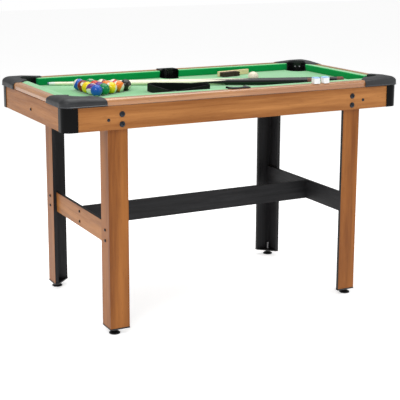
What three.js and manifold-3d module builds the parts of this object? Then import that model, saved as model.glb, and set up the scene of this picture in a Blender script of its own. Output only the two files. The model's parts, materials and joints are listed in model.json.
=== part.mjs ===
// Mini pool table: a four-foot table on four folded-board legs, with six pocket
// mouldings, a full set of balls, two cues, a ball triangle, chalk and a brush.
// Units are millimetres and +Z is up. The origin is on the floor under the middle
// of the table, +X runs along its length and -Y is its front.

import * as THREE from 'three';
import { mergeVertices } from 'three/addons/utils/BufferGeometryUtils.js';
import Module from 'manifold-3d';

const wasm = await Module();
wasm.setup();

// ---------------------------------------------------------------- driving sizes

const GAP = 0.3;                    // clearance between pieces that touch

// Frame, measured over the corner posts
const FRAME_LENGTH = 1210;
const FRAME_WIDTH = 600;
const RAIL_TOP = 749.8;             // height of the wooden rail above the floor
const APRON_DROP = 94.8;            // from the rail's top to the lower edge of the apron board
const APRON_THICKNESS = 14;
const RAIL_WIDTH = 27;              // width of the wooden rail seen from above
const RAIL_SETBACK = 0.5;
const RAIL_NOSE_RADIUS = 11;
const RAIL_BAND = 20;               // height of the rounded band above the groove
const GROOVE_DEPTH = 2.4;

// Playing bed
const CLOTH_DROP = 25.8;            // from the rail's top down to the playing cloth
const CLOTH_THICKNESS = 1.7;
const BED_THICKNESS = 10;
const CUSHION_WIDTH = 33;
const CUSHION_UNDERCUT = 6;
const CUSHION_TOP_DROP = 0.4;
const CUSHION_END_CLEARANCE = 3;    // from the axis of a corner pocket to a cushion's end at the rail
const CORNER_MITRE = 25;            // how much shorter the nose is at a corner pocket
const SIDE_MITRE = 4;

// Corner posts
const POST_WING = 46;
const POST_WING_THICKNESS = 2;
const POST_BLOCK_MARGIN = 3;        // how much wider a post's block is than the rail
const POST_RADIUS = 28;
const POST_CHAMFER = 8;

// Pockets
const POCKET_WALL = 2.5;
const POCKET_DROP = 89.8;           // from the rail's top to the underside of a cup
const POCKET_FLOOR = 3;
const CORNER_POCKET_RADIUS = 33;    // inside the cup
const CORNER_CUP_CLEARANCE = 14.5;  // between the rail and the cup
const CORNER_MOUTH_OFFSET = 6;      // how far the cup's high wall runs past its middle
const SIDE_POCKET_RADIUS = 31;
const SIDE_CUP_CLEARANCE = 0.5;
const SIDE_RIM_HEIGHT = 4.3;        // how far a side pocket's rim stands above the rail
const SIDE_RIM_LAP = 9;             // how far the rim lies over the rail
const CAP_OVERHANG = 5;
const CAP_HEIGHT = 7.5;             // above the rail
const CAP_WING = 138;
const CAP_TIP_HEIGHT = 2.5;         // above the rail, at the tip of a wing
const CAP_FLAT = 66;                // length of the level part, from the face of the frame
const CAP_SKIRT_DROP = 20.4;        // from the rail's top to the lower edge of the skirt
const CAP_LAND = 56;                // width of the cap beside the pocket
const CAP_TAPER = 34;               // length over which a wing widens from its tip
const CAP_BEVEL = 4;

// Legs: boards folded into an L
const LEG_INSET_X = 146;            // from the end of the frame to the leg's outer face
const LEG_WIDTH = 65;
const LEG_THICKNESS = 12;
const LEG_BOTTOM = 22;

// Stretchers
const STRETCHER_TOP = 352;
const STRETCHER_HEIGHT = 68;
const STRETCHER_THICKNESS = 12;

// Levelling feet
const FOOT_RADIUS = 18;
const FOOT_INSET = 22;              // from both outer faces of the leg
const FOOT_RIM = 3.5;
const FOOT_DOME = 8.5;
const FOOT_NECK_RADIUS = 7.5;
const STUD_RADIUS = 4;
const STUD_TOP = 46;
const PLATE_THICKNESS = 4;
const PLATE_OVERHANG = 1;
const STUD_CLEARANCE = 0.5;

// Loose equipment
const BALL_RADIUS = 19;
const BALL_GAP = 0.6;               // between racked balls
const RACK_FROM_NOSE = 134;         // from the left cushion's nose to the row of five balls
const TRIANGLE = { wall: 6, height: 25, play: 1.2, turn: -1.5, fromRack: 37.5, fromNose: 8.3 };
const CUE = { length: 910, tip: 5, ferrule: 5.5, butt: 12, bumper: 9, rise: 0.6 };
// Where the first cue lies: its tip measured from the left and back noses, the aim
// of its butt from the left and front noses. The second lies beside it, further on.
const CUE_PLACE = { tip: [80, 7], butt: [897, 88] };
const SECOND_CUE = { along: 107, clear: 5.2, spread: 0.3 };
const CUE_BALL = { along: 600, clear: 5.6 };    // beside the second cue, from its tip
const CHALK = { side: 21, places: [278, 314], turn: 4 };
const BRUSH = {
  x: 238, fromNose: 50, turn: 10.6, length: 142, back: 12, height: 18,
  hair: 76, depth: 25, hairHeight: 15,
};

// ---------------------------------------------------------------- derived places

const HALF_LENGTH = FRAME_LENGTH / 2;
const HALF_WIDTH = FRAME_WIDTH / 2;
const WELD = 0.5;                   // how far joined volumes run into each other
const APRON_SETBACK = POST_WING_THICKNESS + GAP;    // apron face behind the face of the posts
const APRON_BOTTOM = RAIL_TOP - APRON_DROP;
const POST_BLOCK = RAIL_WIDTH + POST_BLOCK_MARGIN;
const BOARD_INNER = APRON_SETBACK + APRON_THICKNESS;
const NOSE = RAIL_WIDTH + GAP + CUSHION_WIDTH;
const FIELD_X = HALF_LENGTH - NOSE;
const FIELD_Y = HALF_WIDTH - NOSE;
const CLOTH_TOP = RAIL_TOP - CLOTH_DROP;
const BED_TOP = CLOTH_TOP - CLOTH_THICKNESS - GAP;
const BED_BOTTOM = BED_TOP - BED_THICKNESS;
const BAND_BOTTOM = RAIL_TOP - RAIL_BAND;
const CUSHION_BOTTOM = CLOTH_TOP + GAP;
const CUSHION_TOP = RAIL_TOP - CUSHION_TOP_DROP;
const LEG_INSET_Y = BOARD_INNER + GAP;
const LEG_TOP = BED_BOTTOM - GAP;
const LEG_X = HALF_LENGTH - LEG_INSET_X;
const LEG_Y = HALF_WIDTH - LEG_INSET_Y;
const PLATE_TOP = LEG_BOTTOM - GAP;
const PLATE_BOTTOM = PLATE_TOP - PLATE_THICKNESS;
const POCKET_BOTTOM = RAIL_TOP - POCKET_DROP;
const CORNER_CUP_OUTER = CORNER_POCKET_RADIUS + POCKET_WALL;
const CORNER_POCKET_INSET = RAIL_WIDTH + CORNER_CUP_OUTER + CORNER_CUP_CLEARANCE;
const SIDE_CUP_OUTER = SIDE_POCKET_RADIUS + POCKET_WALL;
const SIDE_POCKET_INSET = RAIL_WIDTH + SIDE_CUP_OUTER + SIDE_CUP_CLEARANCE;
const CAP_SKIRT_BOTTOM = RAIL_TOP - CAP_SKIRT_DROP;
const BALL_SPACING = 2 * BALL_RADIUS + BALL_GAP;
const ROW_STEP = BALL_SPACING * Math.sin(Math.PI / 3);
const RACK_X = RACK_FROM_NOSE - FIELD_X;
const RADIANS = Math.PI / 180;

// The four corners: the sign of X and Y, and the quarter turn that brings a shape
// drawn for the back right corner to it.
const CORNERS = [
  { name: 'back_right', sx: 1, sy: 1, turn: 0 },
  { name: 'back_left', sx: -1, sy: 1, turn: Math.PI / 2 },
  { name: 'front_left', sx: -1, sy: -1, turn: Math.PI },
  { name: 'front_right', sx: 1, sy: -1, turn: -Math.PI / 2 },
];

// ---------------------------------------------------------------- materials

const finish = (color, roughness, metalness = 0) =>
  new THREE.MeshStandardMaterial({ color, roughness, metalness });

const FRONT_WOOD = finish(0xb47544, 0.42);
const BOARD_BLACK = finish(0x262628, 0.6);
const CLOTH = finish(0x8fd79a, 0.95);
const CUSHION_CLOTH = finish(0x0a9a48, 0.9);
const CAP_PLASTIC = finish(0x4a4d52, 0.55);
const POST_PLASTIC = finish(0x101112, 0.18);
const POCKET_PLASTIC = finish(0x141415, 0.25);
const FOOT_PLASTIC = finish(0x121213, 0.4);
const CUE_WOOD = finish(0xe9cf9c, 0.35);
const CHALK_PAPER = finish(0xf2f2ee, 0.7);
const BRUSH_WOOD = finish(0xe2cb94, 0.5);
const BALL_COLOURS = {
  blue: 0x1f4f9f, purple: 0x6d3a8c, yellow: 0xf6d60c, maroon: 0x8e2a22, green: 0x148050,
  orange: 0xf28a22, red: 0xe2502a, black: 0x2a2620, white: 0xf4ecd8,
};

// ---------------------------------------------------------------- shape helpers

/** A closed THREE geometry as a manifold solid. */
function solid(geometry) {
  const bare = geometry.index ? geometry.toNonIndexed() : geometry.clone();
  bare.deleteAttribute('normal');
  bare.deleteAttribute('uv');
  const welded = mergeVertices(bare, 1e-4);
  return new wasm.Manifold(new wasm.Mesh({
    numProp: 3,
    vertProperties: new Float32Array(welded.attributes.position.array),
    triVerts: new Uint32Array(welded.index.array),
  }));
}

/** A manifold solid as a THREE geometry. */
function geometryOf(body) {
  const mesh = body.getMesh();
  const geometry = new THREE.BufferGeometry();
  geometry.setAttribute('position', new THREE.BufferAttribute(new Float32Array(mesh.vertProperties), 3));
  geometry.setIndex(new THREE.BufferAttribute(new Uint32Array(mesh.triVerts), 1));
  const flat = geometry.toNonIndexed();
  flat.computeVertexNormals();
  return flat;
}

/** A box between two corners. */
function box([x0, y0, z0], [x1, y1, z1]) {
  const geometry = new THREE.BoxGeometry(x1 - x0, y1 - y0, z1 - z0);
  return geometry.translate((x0 + x1) / 2, (y0 + y1) / 2, (z0 + z1) / 2);
}

/** A closed outline, seen from above, raised from z0 to z1. */
function prism(outline, z0, z1, segments = 6) {
  const shape = outline instanceof THREE.Shape ? outline : polygon(outline);
  const geometry = new THREE.ExtrudeGeometry(shape, {
    depth: z1 - z0, bevelEnabled: false, curveSegments: segments,
  });
  return geometry.translate(0, 0, z0);
}

/** A shape through a list of corners. */
function polygon(points) {
  return new THREE.Shape(points.map(([x, y]) => new THREE.Vector2(x, y)));
}

/** A disc or hole cutter with a vertical axis. */
function cylinder(x, y, radius, z0, z1, segments = 28) {
  const geometry = new THREE.CylinderGeometry(radius, radius, z1 - z0, segments);
  return geometry.rotateX(Math.PI / 2).translate(x, y, (z0 + z1) / 2);
}

/** A solid of revolution about Z, from [radius, height] pairs that start and end on the axis. */
function turned(profile, segments = 24) {
  const geometry = new THREE.LatheGeometry(profile.map(([r, z]) => new THREE.Vector2(r, z)), segments);
  return geometry.rotateX(Math.PI / 2);
}

const table = new THREE.Group();
const equipment = new THREE.Group();

/** Add one named piece to a group. */
function piece(name, geometry, material, group = table) {
  const mesh = new THREE.Mesh(geometry, material);
  mesh.name = name;
  group.add(mesh);
  return mesh;
}

/** Add a copy of a shape drawn with its outer corner at the origin to each corner. */
function atCorners(prefix, geometry, material, x, y) {
  for (const corner of CORNERS) {
    const mesh = piece(`${prefix}_${corner.name}`, geometry, material);
    mesh.position.set(corner.sx * x, corner.sy * y, 0);
    mesh.rotation.z = corner.turn;
  }
}

/** The axis of each corner pocket, with the signs of its corner. */
function cornerPocketPlaces() {
  return CORNERS.map(({ sx, sy }) => [
    sx * (HALF_LENGTH - CORNER_POCKET_INSET), sy * (HALF_WIDTH - CORNER_POCKET_INSET), sx, sy,
  ]);
}

// ---------------------------------------------------------------- rails and aprons

/**
 * The section of one side, as [outward, height] pairs: the apron board, a shadow
 * groove and the rounded rail on top of it. Outward is 0 at the face of the posts.
 */
function railSection() {
  const shape = new THREE.Shape();
  const face = -APRON_SETBACK;
  const band = -RAIL_SETBACK;
  const inner = -BOARD_INNER;
  shape.moveTo(inner, APRON_BOTTOM);
  shape.lineTo(face, APRON_BOTTOM);
  shape.lineTo(face, BAND_BOTTOM - GROOVE_DEPTH);
  shape.lineTo(face - GROOVE_DEPTH, BAND_BOTTOM);
  shape.lineTo(band, BAND_BOTTOM + 1);
  shape.lineTo(band, RAIL_TOP - RAIL_NOSE_RADIUS);
  shape.absarc(band - RAIL_NOSE_RADIUS, RAIL_TOP - RAIL_NOSE_RADIUS, RAIL_NOSE_RADIUS, 0, Math.PI / 2);
  shape.lineTo(-RAIL_WIDTH, RAIL_TOP);
  shape.lineTo(-RAIL_WIDTH, CUSHION_BOTTOM);
  shape.lineTo(inner, CUSHION_BOTTOM);
  return shape;
}

/** One side of the frame, lying along X, its outer face towards -Y and at y = 0. */
function railGeometry(length) {
  const geometry = new THREE.ExtrudeGeometry(railSection(), {
    depth: length, bevelEnabled: false, curveSegments: 5,
  });
  // Section X (outward) becomes -Y, section Y becomes Z, and depth becomes X.
  const basis = new THREE.Matrix4().makeBasis(
    new THREE.Vector3(0, -1, 0), new THREE.Vector3(0, 0, 1), new THREE.Vector3(-1, 0, 0));
  return geometry.applyMatrix4(basis).translate(length / 2, 0, 0);
}

function addRails() {
  const longRail = railGeometry(FRAME_LENGTH - 2 * (POST_BLOCK + GAP));
  const shortRail = railGeometry(FRAME_WIDTH - 2 * (POST_BLOCK + GAP));
  const sides = [
    ['front_rail', longRail, 0, -HALF_WIDTH, 0],
    ['back_rail', longRail, 0, HALF_WIDTH, Math.PI],
    ['right_rail', shortRail, HALF_LENGTH, 0, Math.PI / 2],
    ['left_rail', shortRail, -HALF_LENGTH, 0, -Math.PI / 2],
  ];
  for (const [name, geometry, x, y, turn] of sides) {
    const mesh = piece(name, geometry, FRONT_WOOD);
    mesh.position.set(x, y, 0);
    mesh.rotation.z = turn;
  }
}

/** Corner post: a rounded block with thin wings that cover the ends of the boards. */
function addPosts() {
  const wingTop = BAND_BOTTOM - GROOVE_DEPTH - GAP;
  const outer = new THREE.Shape();
  outer.moveTo(-POST_WING, 0);
  outer.lineTo(-POST_WING, -POST_WING_THICKNESS);
  outer.lineTo(-POST_BLOCK, -POST_WING_THICKNESS);
  outer.lineTo(-POST_BLOCK, -POST_BLOCK + POST_CHAMFER);
  outer.lineTo(-POST_BLOCK + POST_CHAMFER, -POST_BLOCK);
  outer.lineTo(-POST_WING_THICKNESS, -POST_BLOCK);
  outer.lineTo(-POST_WING_THICKNESS, -POST_WING);
  outer.lineTo(0, -POST_WING);
  outer.lineTo(0, -POST_RADIUS);
  outer.absarc(-POST_RADIUS, -POST_RADIUS, POST_RADIUS, 0, Math.PI / 2);
  const block = new THREE.Shape();
  block.moveTo(-POST_BLOCK, 0);
  block.lineTo(-POST_BLOCK, -POST_BLOCK + POST_CHAMFER);
  block.lineTo(-POST_BLOCK + POST_CHAMFER, -POST_BLOCK);
  block.lineTo(0, -POST_BLOCK);
  block.lineTo(0, -POST_RADIUS);
  block.absarc(-POST_RADIUS, -POST_RADIUS, POST_RADIUS, 0, Math.PI / 2);
  const body = solid(prism(outer, APRON_BOTTOM, wingTop))
    .add(solid(prism(block, wingTop - WELD, RAIL_TOP)));
  atCorners('corner_post', geometryOf(body), POST_PLASTIC, HALF_LENGTH, HALF_WIDTH);
}

// ---------------------------------------------------------------- bed and cushions

/** A box from a point outwards by the given reaches, which may be negative. */
function boxFrom([x, y], [byX, byY], z0, z1) {
  const [x0, x1] = [Math.min(x, x + byX), Math.max(x, x + byX)];
  const [y0, y1] = [Math.min(y, y + byY), Math.max(y, y + byY)];
  return box([x0, y0, z0], [x1, y1, z1]);
}

/** A sheet between two heights with room for the six pocket cups and the posts. */
function bedSheet(halfX, halfY, z0, z1, clearance) {
  let sheet = solid(box([-halfX, -halfY, z0], [halfX, halfY, z1]));
  const [low, high] = [z0 - 1, z1 + 1];
  for (const [x, y, sx, sy] of cornerPocketPlaces()) {
    const radius = CORNER_CUP_OUTER + clearance;
    const far = CORNER_POCKET_INSET;
    sheet = sheet.subtract(solid(cylinder(x, y, radius, low, high, 40)));
    sheet = sheet.subtract(solid(boxFrom([x, y - sy * radius], [sx * far, sy * (radius + far)], low, high)));
    sheet = sheet.subtract(solid(boxFrom([x - sx * radius, y], [sx * (radius + far), sy * far], low, high)));
  }
  for (const sy of [-1, 1]) {
    const y = sy * (HALF_WIDTH - SIDE_POCKET_INSET);
    const radius = SIDE_CUP_OUTER + clearance;
    sheet = sheet.subtract(solid(cylinder(0, y, radius, low, high, 40)));
    sheet = sheet.subtract(solid(boxFrom([-radius, y], [2 * radius, sy * SIDE_POCKET_INSET], low, high)));
  }
  return geometryOf(sheet);
}

function addBed() {
  const inside = BOARD_INNER + GAP;
  piece('bed_board',
    bedSheet(HALF_LENGTH - inside, HALF_WIDTH - inside, BED_BOTTOM, BED_TOP, GAP), BOARD_BLACK);
  const clothInset = inside + 2;
  piece('bed_cloth',
    bedSheet(HALF_LENGTH - clothInset, HALF_WIDTH - clothInset, BED_TOP + GAP, CLOTH_TOP, GAP), CLOTH);
}

/** The section of a cushion as [inward, height] pairs, from the wooden rail. */
function cushionSection() {
  const back = RAIL_WIDTH + GAP;
  return polygon([
    [back, CUSHION_BOTTOM],
    [back, CUSHION_TOP],
    [NOSE - 2.5, CUSHION_TOP],
    [NOSE - 0.6, CUSHION_TOP - 1],
    [NOSE, CUSHION_TOP - 3],
    [NOSE - CUSHION_UNDERCUT, CUSHION_BOTTOM],
  ]);
}

/** A cushion along X on the front side of the table, from x0 to x1, with mitred ends. */
function cushionAlongFront(x0, x1, half, mitre0, mitre1) {
  const geometry = new THREE.ExtrudeGeometry(cushionSection(), { depth: x1 - x0, bevelEnabled: false });
  // Section X (inward) becomes +Y, section Y becomes Z, and depth becomes X.
  const basis = new THREE.Matrix4().makeBasis(
    new THREE.Vector3(0, 1, 0), new THREE.Vector3(0, 0, 1), new THREE.Vector3(1, 0, 0));
  let body = solid(geometry.applyMatrix4(basis).translate(x0, -half, 0));
  const back = -half + RAIL_WIDTH;
  const nose = -half + NOSE;
  for (const [x, direction, slant] of [[x0, -1, mitre0], [x1, 1, mitre1]]) {
    const away = x + direction * CUSHION_WIDTH;
    const cut = [[x, back - 1], [away, back - 1], [away, nose + 1], [x - direction * slant, nose + 1]];
    body = body.subtract(solid(prism(cut, CUSHION_BOTTOM - 1, RAIL_TOP + 1)));
  }
  return body;
}

/** Take the room of the pocket cups out of a cushion. */
function clearOfCups(body, places) {
  let result = body;
  for (const [x, y, radius] of places) {
    result = result.subtract(solid(cylinder(x, y, radius + GAP, CUSHION_BOTTOM - 1, RAIL_TOP + 1, 40)));
  }
  return result;
}

function addCushions() {
  const sideHalf = SIDE_CUP_OUTER + GAP;
  const cups = (halfA, halfB) => [
    [halfA - CORNER_POCKET_INSET, -halfB + CORNER_POCKET_INSET, CORNER_CUP_OUTER],
    [-halfA + CORNER_POCKET_INSET, -halfB + CORNER_POCKET_INSET, CORNER_CUP_OUTER],
  ];
  const setback = CORNER_POCKET_INSET + CUSHION_END_CLEARANCE;
  const longEnd = HALF_LENGTH - setback;
  const long = (x0, x1, m0, m1) => geometryOf(clearOfCups(
    cushionAlongFront(x0, x1, HALF_WIDTH, m0, m1), cups(HALF_LENGTH, HALF_WIDTH)));
  const left = long(-longEnd, -sideHalf, CORNER_MITRE, SIDE_MITRE);
  const right = long(sideHalf, longEnd, SIDE_MITRE, CORNER_MITRE);
  const shortEnd = HALF_WIDTH - setback;
  const end = geometryOf(clearOfCups(
    cushionAlongFront(-shortEnd, shortEnd, HALF_LENGTH, CORNER_MITRE, CORNER_MITRE),
    cups(HALF_WIDTH, HALF_LENGTH)));
  const places = [
    ['cushion_front_left', left, 0], ['cushion_front_right', right, 0],
    ['cushion_back_right', left, Math.PI], ['cushion_back_left', right, Math.PI],
    ['cushion_right_end', end, Math.PI / 2], ['cushion_left_end', end, -Math.PI / 2],
  ];
  for (const [name, geometry, turn] of places) {
    piece(name, geometry, CUSHION_CLOTH).rotation.z = turn;
  }
}

// ---------------------------------------------------------------- pockets

/** An open cup with its axis at x, y. */
function cup(x, y, radius, top) {
  const shell = solid(cylinder(x, y, radius + POCKET_WALL, POCKET_BOTTOM, top, 32));
  return shell.subtract(solid(cylinder(x, y, radius, POCKET_BOTTOM + POCKET_FLOOR, top + 1, 32)));
}

/** What is above the two wings of a cap, which slope down from its level part to their tips. */
function aboveWings(capTop) {
  const end = CAP_WING + CAP_OVERHANG;
  const section = polygon([
    [-CAP_FLAT, capTop], [-CAP_FLAT, capTop + 1], [-end, capTop + 1],
    [-end, RAIL_TOP + CAP_TIP_HEIGHT], [-CAP_WING, RAIL_TOP + CAP_TIP_HEIGHT],
  ]);
  const wedge = new THREE.ExtrudeGeometry(section, { depth: 2 * CAP_WING, bevelEnabled: false });
  // Section X stays X, section Y becomes Z, and depth becomes -Y, the same both ways from 0.
  wedge.rotateX(Math.PI / 2).translate(0, CAP_WING, 0);
  return solid(wedge).add(solid(wedge.clone().rotateZ(Math.PI / 2)));
}

/** Corner pocket: cup, cap and skirt in one moulding, its outer corner at the origin. */
function addCornerPockets() {
  const out = CAP_OVERHANG;
  const capTop = RAIL_TOP + CAP_HEIGHT;
  const radius = POST_RADIUS + out;
  const plan = (edge, wing, land) => {
    const shape = new THREE.Shape();
    shape.moveTo(-wing, edge);
    shape.lineTo(-wing, -RAIL_WIDTH);
    shape.lineTo(-wing + CAP_TAPER, -land);
    shape.lineTo(-land, -land);
    shape.lineTo(-land, -wing + CAP_TAPER);
    shape.lineTo(-RAIL_WIDTH, -wing);
    shape.lineTo(edge, -wing);
    shape.lineTo(edge, edge - radius);
    shape.absarc(edge - radius, edge - radius, radius, 0, Math.PI / 2);
    return shape;
  };
  const mid = capTop - CAP_BEVEL;
  const lower = solid(prism(plan(out, CAP_WING, CAP_LAND), RAIL_TOP + GAP, mid));
  const upper = solid(prism(plan(out - CAP_BEVEL, CAP_WING - CAP_BEVEL, CAP_LAND), mid - WELD, capTop));
  const skirtOuter = solid(prism(plan(out, CAP_WING, CAP_LAND), CAP_SKIRT_BOTTOM, RAIL_TOP + GAP + WELD));
  const inside = new THREE.Shape();
  inside.moveTo(-CAP_WING - 1, GAP);
  inside.lineTo(-CAP_WING - 1, -CAP_WING - 1);
  inside.lineTo(GAP, -CAP_WING - 1);
  inside.lineTo(GAP, GAP - POST_RADIUS);
  inside.absarc(GAP - POST_RADIUS, GAP - POST_RADIUS, POST_RADIUS, 0, Math.PI / 2);
  const skirt = skirtOuter.subtract(solid(prism(inside, CAP_SKIRT_BOTTOM - 1, RAIL_TOP + GAP)));
  const axis = -CORNER_POCKET_INSET;
  const reach = CORNER_CUP_OUTER + 1;
  const mouth = polygon([
    [axis - reach, axis - reach],
    [axis + reach - CORNER_MOUTH_OFFSET, axis - reach],
    [axis - reach, axis + reach - CORNER_MOUTH_OFFSET],
  ]);
  const hollow = cylinder(axis, axis, CORNER_POCKET_RADIUS, POCKET_BOTTOM + POCKET_FLOOR, capTop + 1, 32);
  const body = lower.add(upper).add(skirt)
    .add(cup(axis, axis, CORNER_POCKET_RADIUS, RAIL_TOP + GAP + WELD))
    .subtract(solid(hollow))
    .subtract(solid(prism(mouth, CLOTH_TOP, capTop + 1)))
    .subtract(aboveWings(capTop));
  atCorners('corner_pocket', geometryOf(body), CAP_PLASTIC, HALF_LENGTH, HALF_WIDTH);
}

/**
 * Side pocket: a cup whose wall rises past the rail on the side away from the bed,
 * to a rim that laps over the rail.
 */
function addSidePockets() {
  const y = -(HALF_WIDTH - SIDE_POCKET_INSET);
  const reach = SIDE_CUP_OUTER + 1;
  const half = SIDE_CUP_OUTER;
  const rimTop = RAIL_TOP + SIDE_RIM_HEIGHT;
  const lapEnd = -(HALF_WIDTH - RAIL_WIDTH + SIDE_RIM_LAP);
  const collar = box([-half, y - half, CUSHION_BOTTOM], [half, y, rimTop]);
  const rim = box([-half, lapEnd, RAIL_TOP + GAP], [half, y - half + WELD, rimTop]);
  const hollow = cylinder(0, y, SIDE_POCKET_RADIUS, POCKET_BOTTOM + POCKET_FLOOR, rimTop + 1, 32);
  const body = cup(0, y, SIDE_POCKET_RADIUS, RAIL_TOP)
    .subtract(solid(box([-reach, y, CLOTH_TOP], [reach, y + reach, RAIL_TOP + 1])))
    .add(solid(collar))
    .add(solid(rim))
    .subtract(solid(hollow));
  const geometry = geometryOf(body);
  piece('side_pocket_front', geometry, POCKET_PLASTIC);
  piece('side_pocket_back', geometry, POCKET_PLASTIC).rotation.z = Math.PI;
}

// ---------------------------------------------------------------- legs and stretchers

function addLegs() {
  const section = polygon([
    [0, 0], [-LEG_WIDTH, 0], [-LEG_WIDTH, -LEG_THICKNESS], [-LEG_THICKNESS, -LEG_THICKNESS],
    [-LEG_THICKNESS, -LEG_WIDTH], [0, -LEG_WIDTH],
  ]);
  atCorners('leg', prism(section, LEG_BOTTOM, LEG_TOP), FRONT_WOOD, LEG_X, LEG_Y);

  const edge = PLATE_OVERHANG;
  const far = -(LEG_WIDTH + PLATE_OVERHANG);
  const shoulder = -(LEG_THICKNESS + PLATE_OVERHANG);
  const plan = polygon([[edge, edge], [far, edge], [far, shoulder], [shoulder, far], [edge, far]]);
  const plate = solid(prism(plan, PLATE_BOTTOM, PLATE_TOP)).subtract(solid(
    cylinder(-FOOT_INSET, -FOOT_INSET, STUD_RADIUS + STUD_CLEARANCE, PLATE_BOTTOM - 1, PLATE_TOP + 1, 16)));
  atCorners('leg_plate', geometryOf(plate), FOOT_PLASTIC, LEG_X, LEG_Y);

  const neckTop = PLATE_BOTTOM - GAP;
  const foot = turned([
    [0, 0], [FOOT_RADIUS - 1, 0], [FOOT_RADIUS, 1], [FOOT_RADIUS, FOOT_RIM],
    [FOOT_RADIUS * 0.72, FOOT_DOME - 1], [FOOT_NECK_RADIUS, FOOT_DOME], [FOOT_NECK_RADIUS, neckTop],
    [STUD_RADIUS, neckTop], [STUD_RADIUS, STUD_TOP], [0, STUD_TOP],
  ], 20);
  for (const corner of CORNERS) {
    const mesh = piece(`levelling_foot_${corner.name}`, foot, FOOT_PLASTIC);
    mesh.position.set(corner.sx * (LEG_X - FOOT_INSET), corner.sy * (LEG_Y - FOOT_INSET), 0);
  }
}

function addStretchers() {
  const bottom = STRETCHER_TOP - STRETCHER_HEIGHT;
  const outer = LEG_X - LEG_THICKNESS - GAP;
  const inner = outer - STRETCHER_THICKNESS;
  const half = LEG_Y - LEG_THICKNESS - GAP;
  piece('end_stretcher_right', box([inner, -half, bottom], [outer, half, STRETCHER_TOP]), FRONT_WOOD);
  piece('end_stretcher_left', box([-outer, -half, bottom], [-inner, half, STRETCHER_TOP]), FRONT_WOOD);
  const reach = inner - GAP;
  const thick = STRETCHER_THICKNESS / 2;
  piece('long_stretcher', box([-reach, -thick, bottom], [reach, thick, STRETCHER_TOP]), BOARD_BLACK);
}

// ---------------------------------------------------------------- equipment

/** Racked balls, row by row from the row of five to the single ball nearest the middle. */
const RACK_ROWS = [
  ['ball_02_blue', 'ball_12_purple', 'ball_01_yellow', 'ball_07_maroon', 'ball_10_blue'],
  ['ball_06_green', 'ball_04_purple', 'ball_03_red', 'ball_14_green'],
  ['ball_09_yellow', 'ball_05_orange', 'ball_15_maroon'],
  ['ball_13_orange', 'ball_11_red'],
  ['ball_08_black'],
];

function addBalls() {
  const height = CLOTH_TOP + GAP + BALL_RADIUS;
  const sphere = new THREE.IcosahedronGeometry(BALL_RADIUS, 3);
  const ball = (name, x, y) => {
    const colour = BALL_COLOURS[name.split('_').pop()];
    piece(name, sphere, finish(colour, 0.12), equipment).position.set(x, y, height);
  };
  RACK_ROWS.forEach((row, depth) => {
    row.forEach((name, place) => {
      ball(name, RACK_X + depth * ROW_STEP, (place - (row.length - 1) / 2) * BALL_SPACING);
    });
  });
  const { tip, heading } = cueLies()[1];
  const away = BALL_RADIUS + CUE.butt + CUE_BALL.clear;
  ball('ball_cue_white', ...beside(tip, heading, CUE_BALL.along, away));
}

/** The place that lies along a heading from a point and then to the left of it. */
function beside([x, y], heading, along, left) {
  const [forward, aside] = [Math.cos(heading), Math.sin(heading)];
  return [x + along * forward - left * aside, y + along * aside + left * forward];
}

/** Where the tip of each cue lies and which way the cue points, from its tip to its butt. */
function cueLies() {
  const tip = [CUE_PLACE.tip[0] - FIELD_X, FIELD_Y - CUE_PLACE.tip[1]];
  const butt = [CUE_PLACE.butt[0] - FIELD_X, CUE_PLACE.butt[1] - FIELD_Y];
  const heading = Math.atan2(butt[1] - tip[1], butt[0] - tip[0]);
  const second = beside(tip, heading, SECOND_CUE.along, 2 * CUE.butt + SECOND_CUE.clear);
  return [{ tip, heading }, { tip: second, heading: heading + SECOND_CUE.spread * RADIANS }];
}

/** A cue lying on the cloth, drawn along +X with its tip at the origin. */
function cueGeometry() {
  const { length, tip, ferrule, butt, bumper } = CUE;
  const profile = [
    [0, 0], [tip - 1.5, 0], [tip, 3], [ferrule, 30], [butt * 0.86, length * 0.7],
    [butt, length - 40], [butt, length - 10], [bumper, length], [0, length],
  ];
  return turned(profile, 14).rotateY(Math.PI / 2);
}

function addCues() {
  const geometry = cueGeometry();
  const height = CLOTH_TOP + GAP + CUE.butt + CUE.rise;
  const sink = Math.asin((CUE.butt - CUE.ferrule) / CUE.length);
  cueLies().forEach(({ tip, heading }, index) => {
    const mesh = piece(`cue_${index + 1}`, geometry, CUE_WOOD, equipment);
    mesh.position.set(tip[0], tip[1], height - CUE.length * Math.sin(sink));
    mesh.rotation.set(0, -sink, heading, 'ZYX');
  });
}

/** A triangle outline with round corners of the given radius about three points. */
function roundTriangle(reach, radius) {
  const shape = new THREE.Shape();
  for (let side = 0; side < 3; side += 1) {
    const corner = side * 120 * RADIANS;
    const from = corner - 60 * RADIANS;
    const [x, y] = [reach * Math.cos(corner), reach * Math.sin(corner)];
    if (side === 0) shape.moveTo(x + radius * Math.cos(from), y + radius * Math.sin(from));
    shape.absarc(x, y, radius, from, corner + 60 * RADIANS);
  }
  return shape;
}

function addTriangle() {
  const { wall, height, play, turn, fromRack, fromNose } = TRIANGLE;
  const reach = 4 * BALL_SPACING / Math.sqrt(3);
  const round = BALL_RADIUS + play + wall;
  const rackEnd = RACK_X + 4 * ROW_STEP + BALL_RADIUS;
  const outline = roundTriangle(reach, round);
  const hole = roundTriangle(reach, BALL_RADIUS + play);
  outline.holes.push(hole);
  const mesh = piece('ball_triangle', prism(outline, 0, height, 8), POCKET_PLASTIC, equipment);
  mesh.position.set(
    rackEnd + fromRack + reach / 2 + round,
    fromNose + round + 2 * BALL_SPACING - FIELD_Y,
    CLOTH_TOP + GAP);
  mesh.rotation.z = turn * RADIANS;
}

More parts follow.
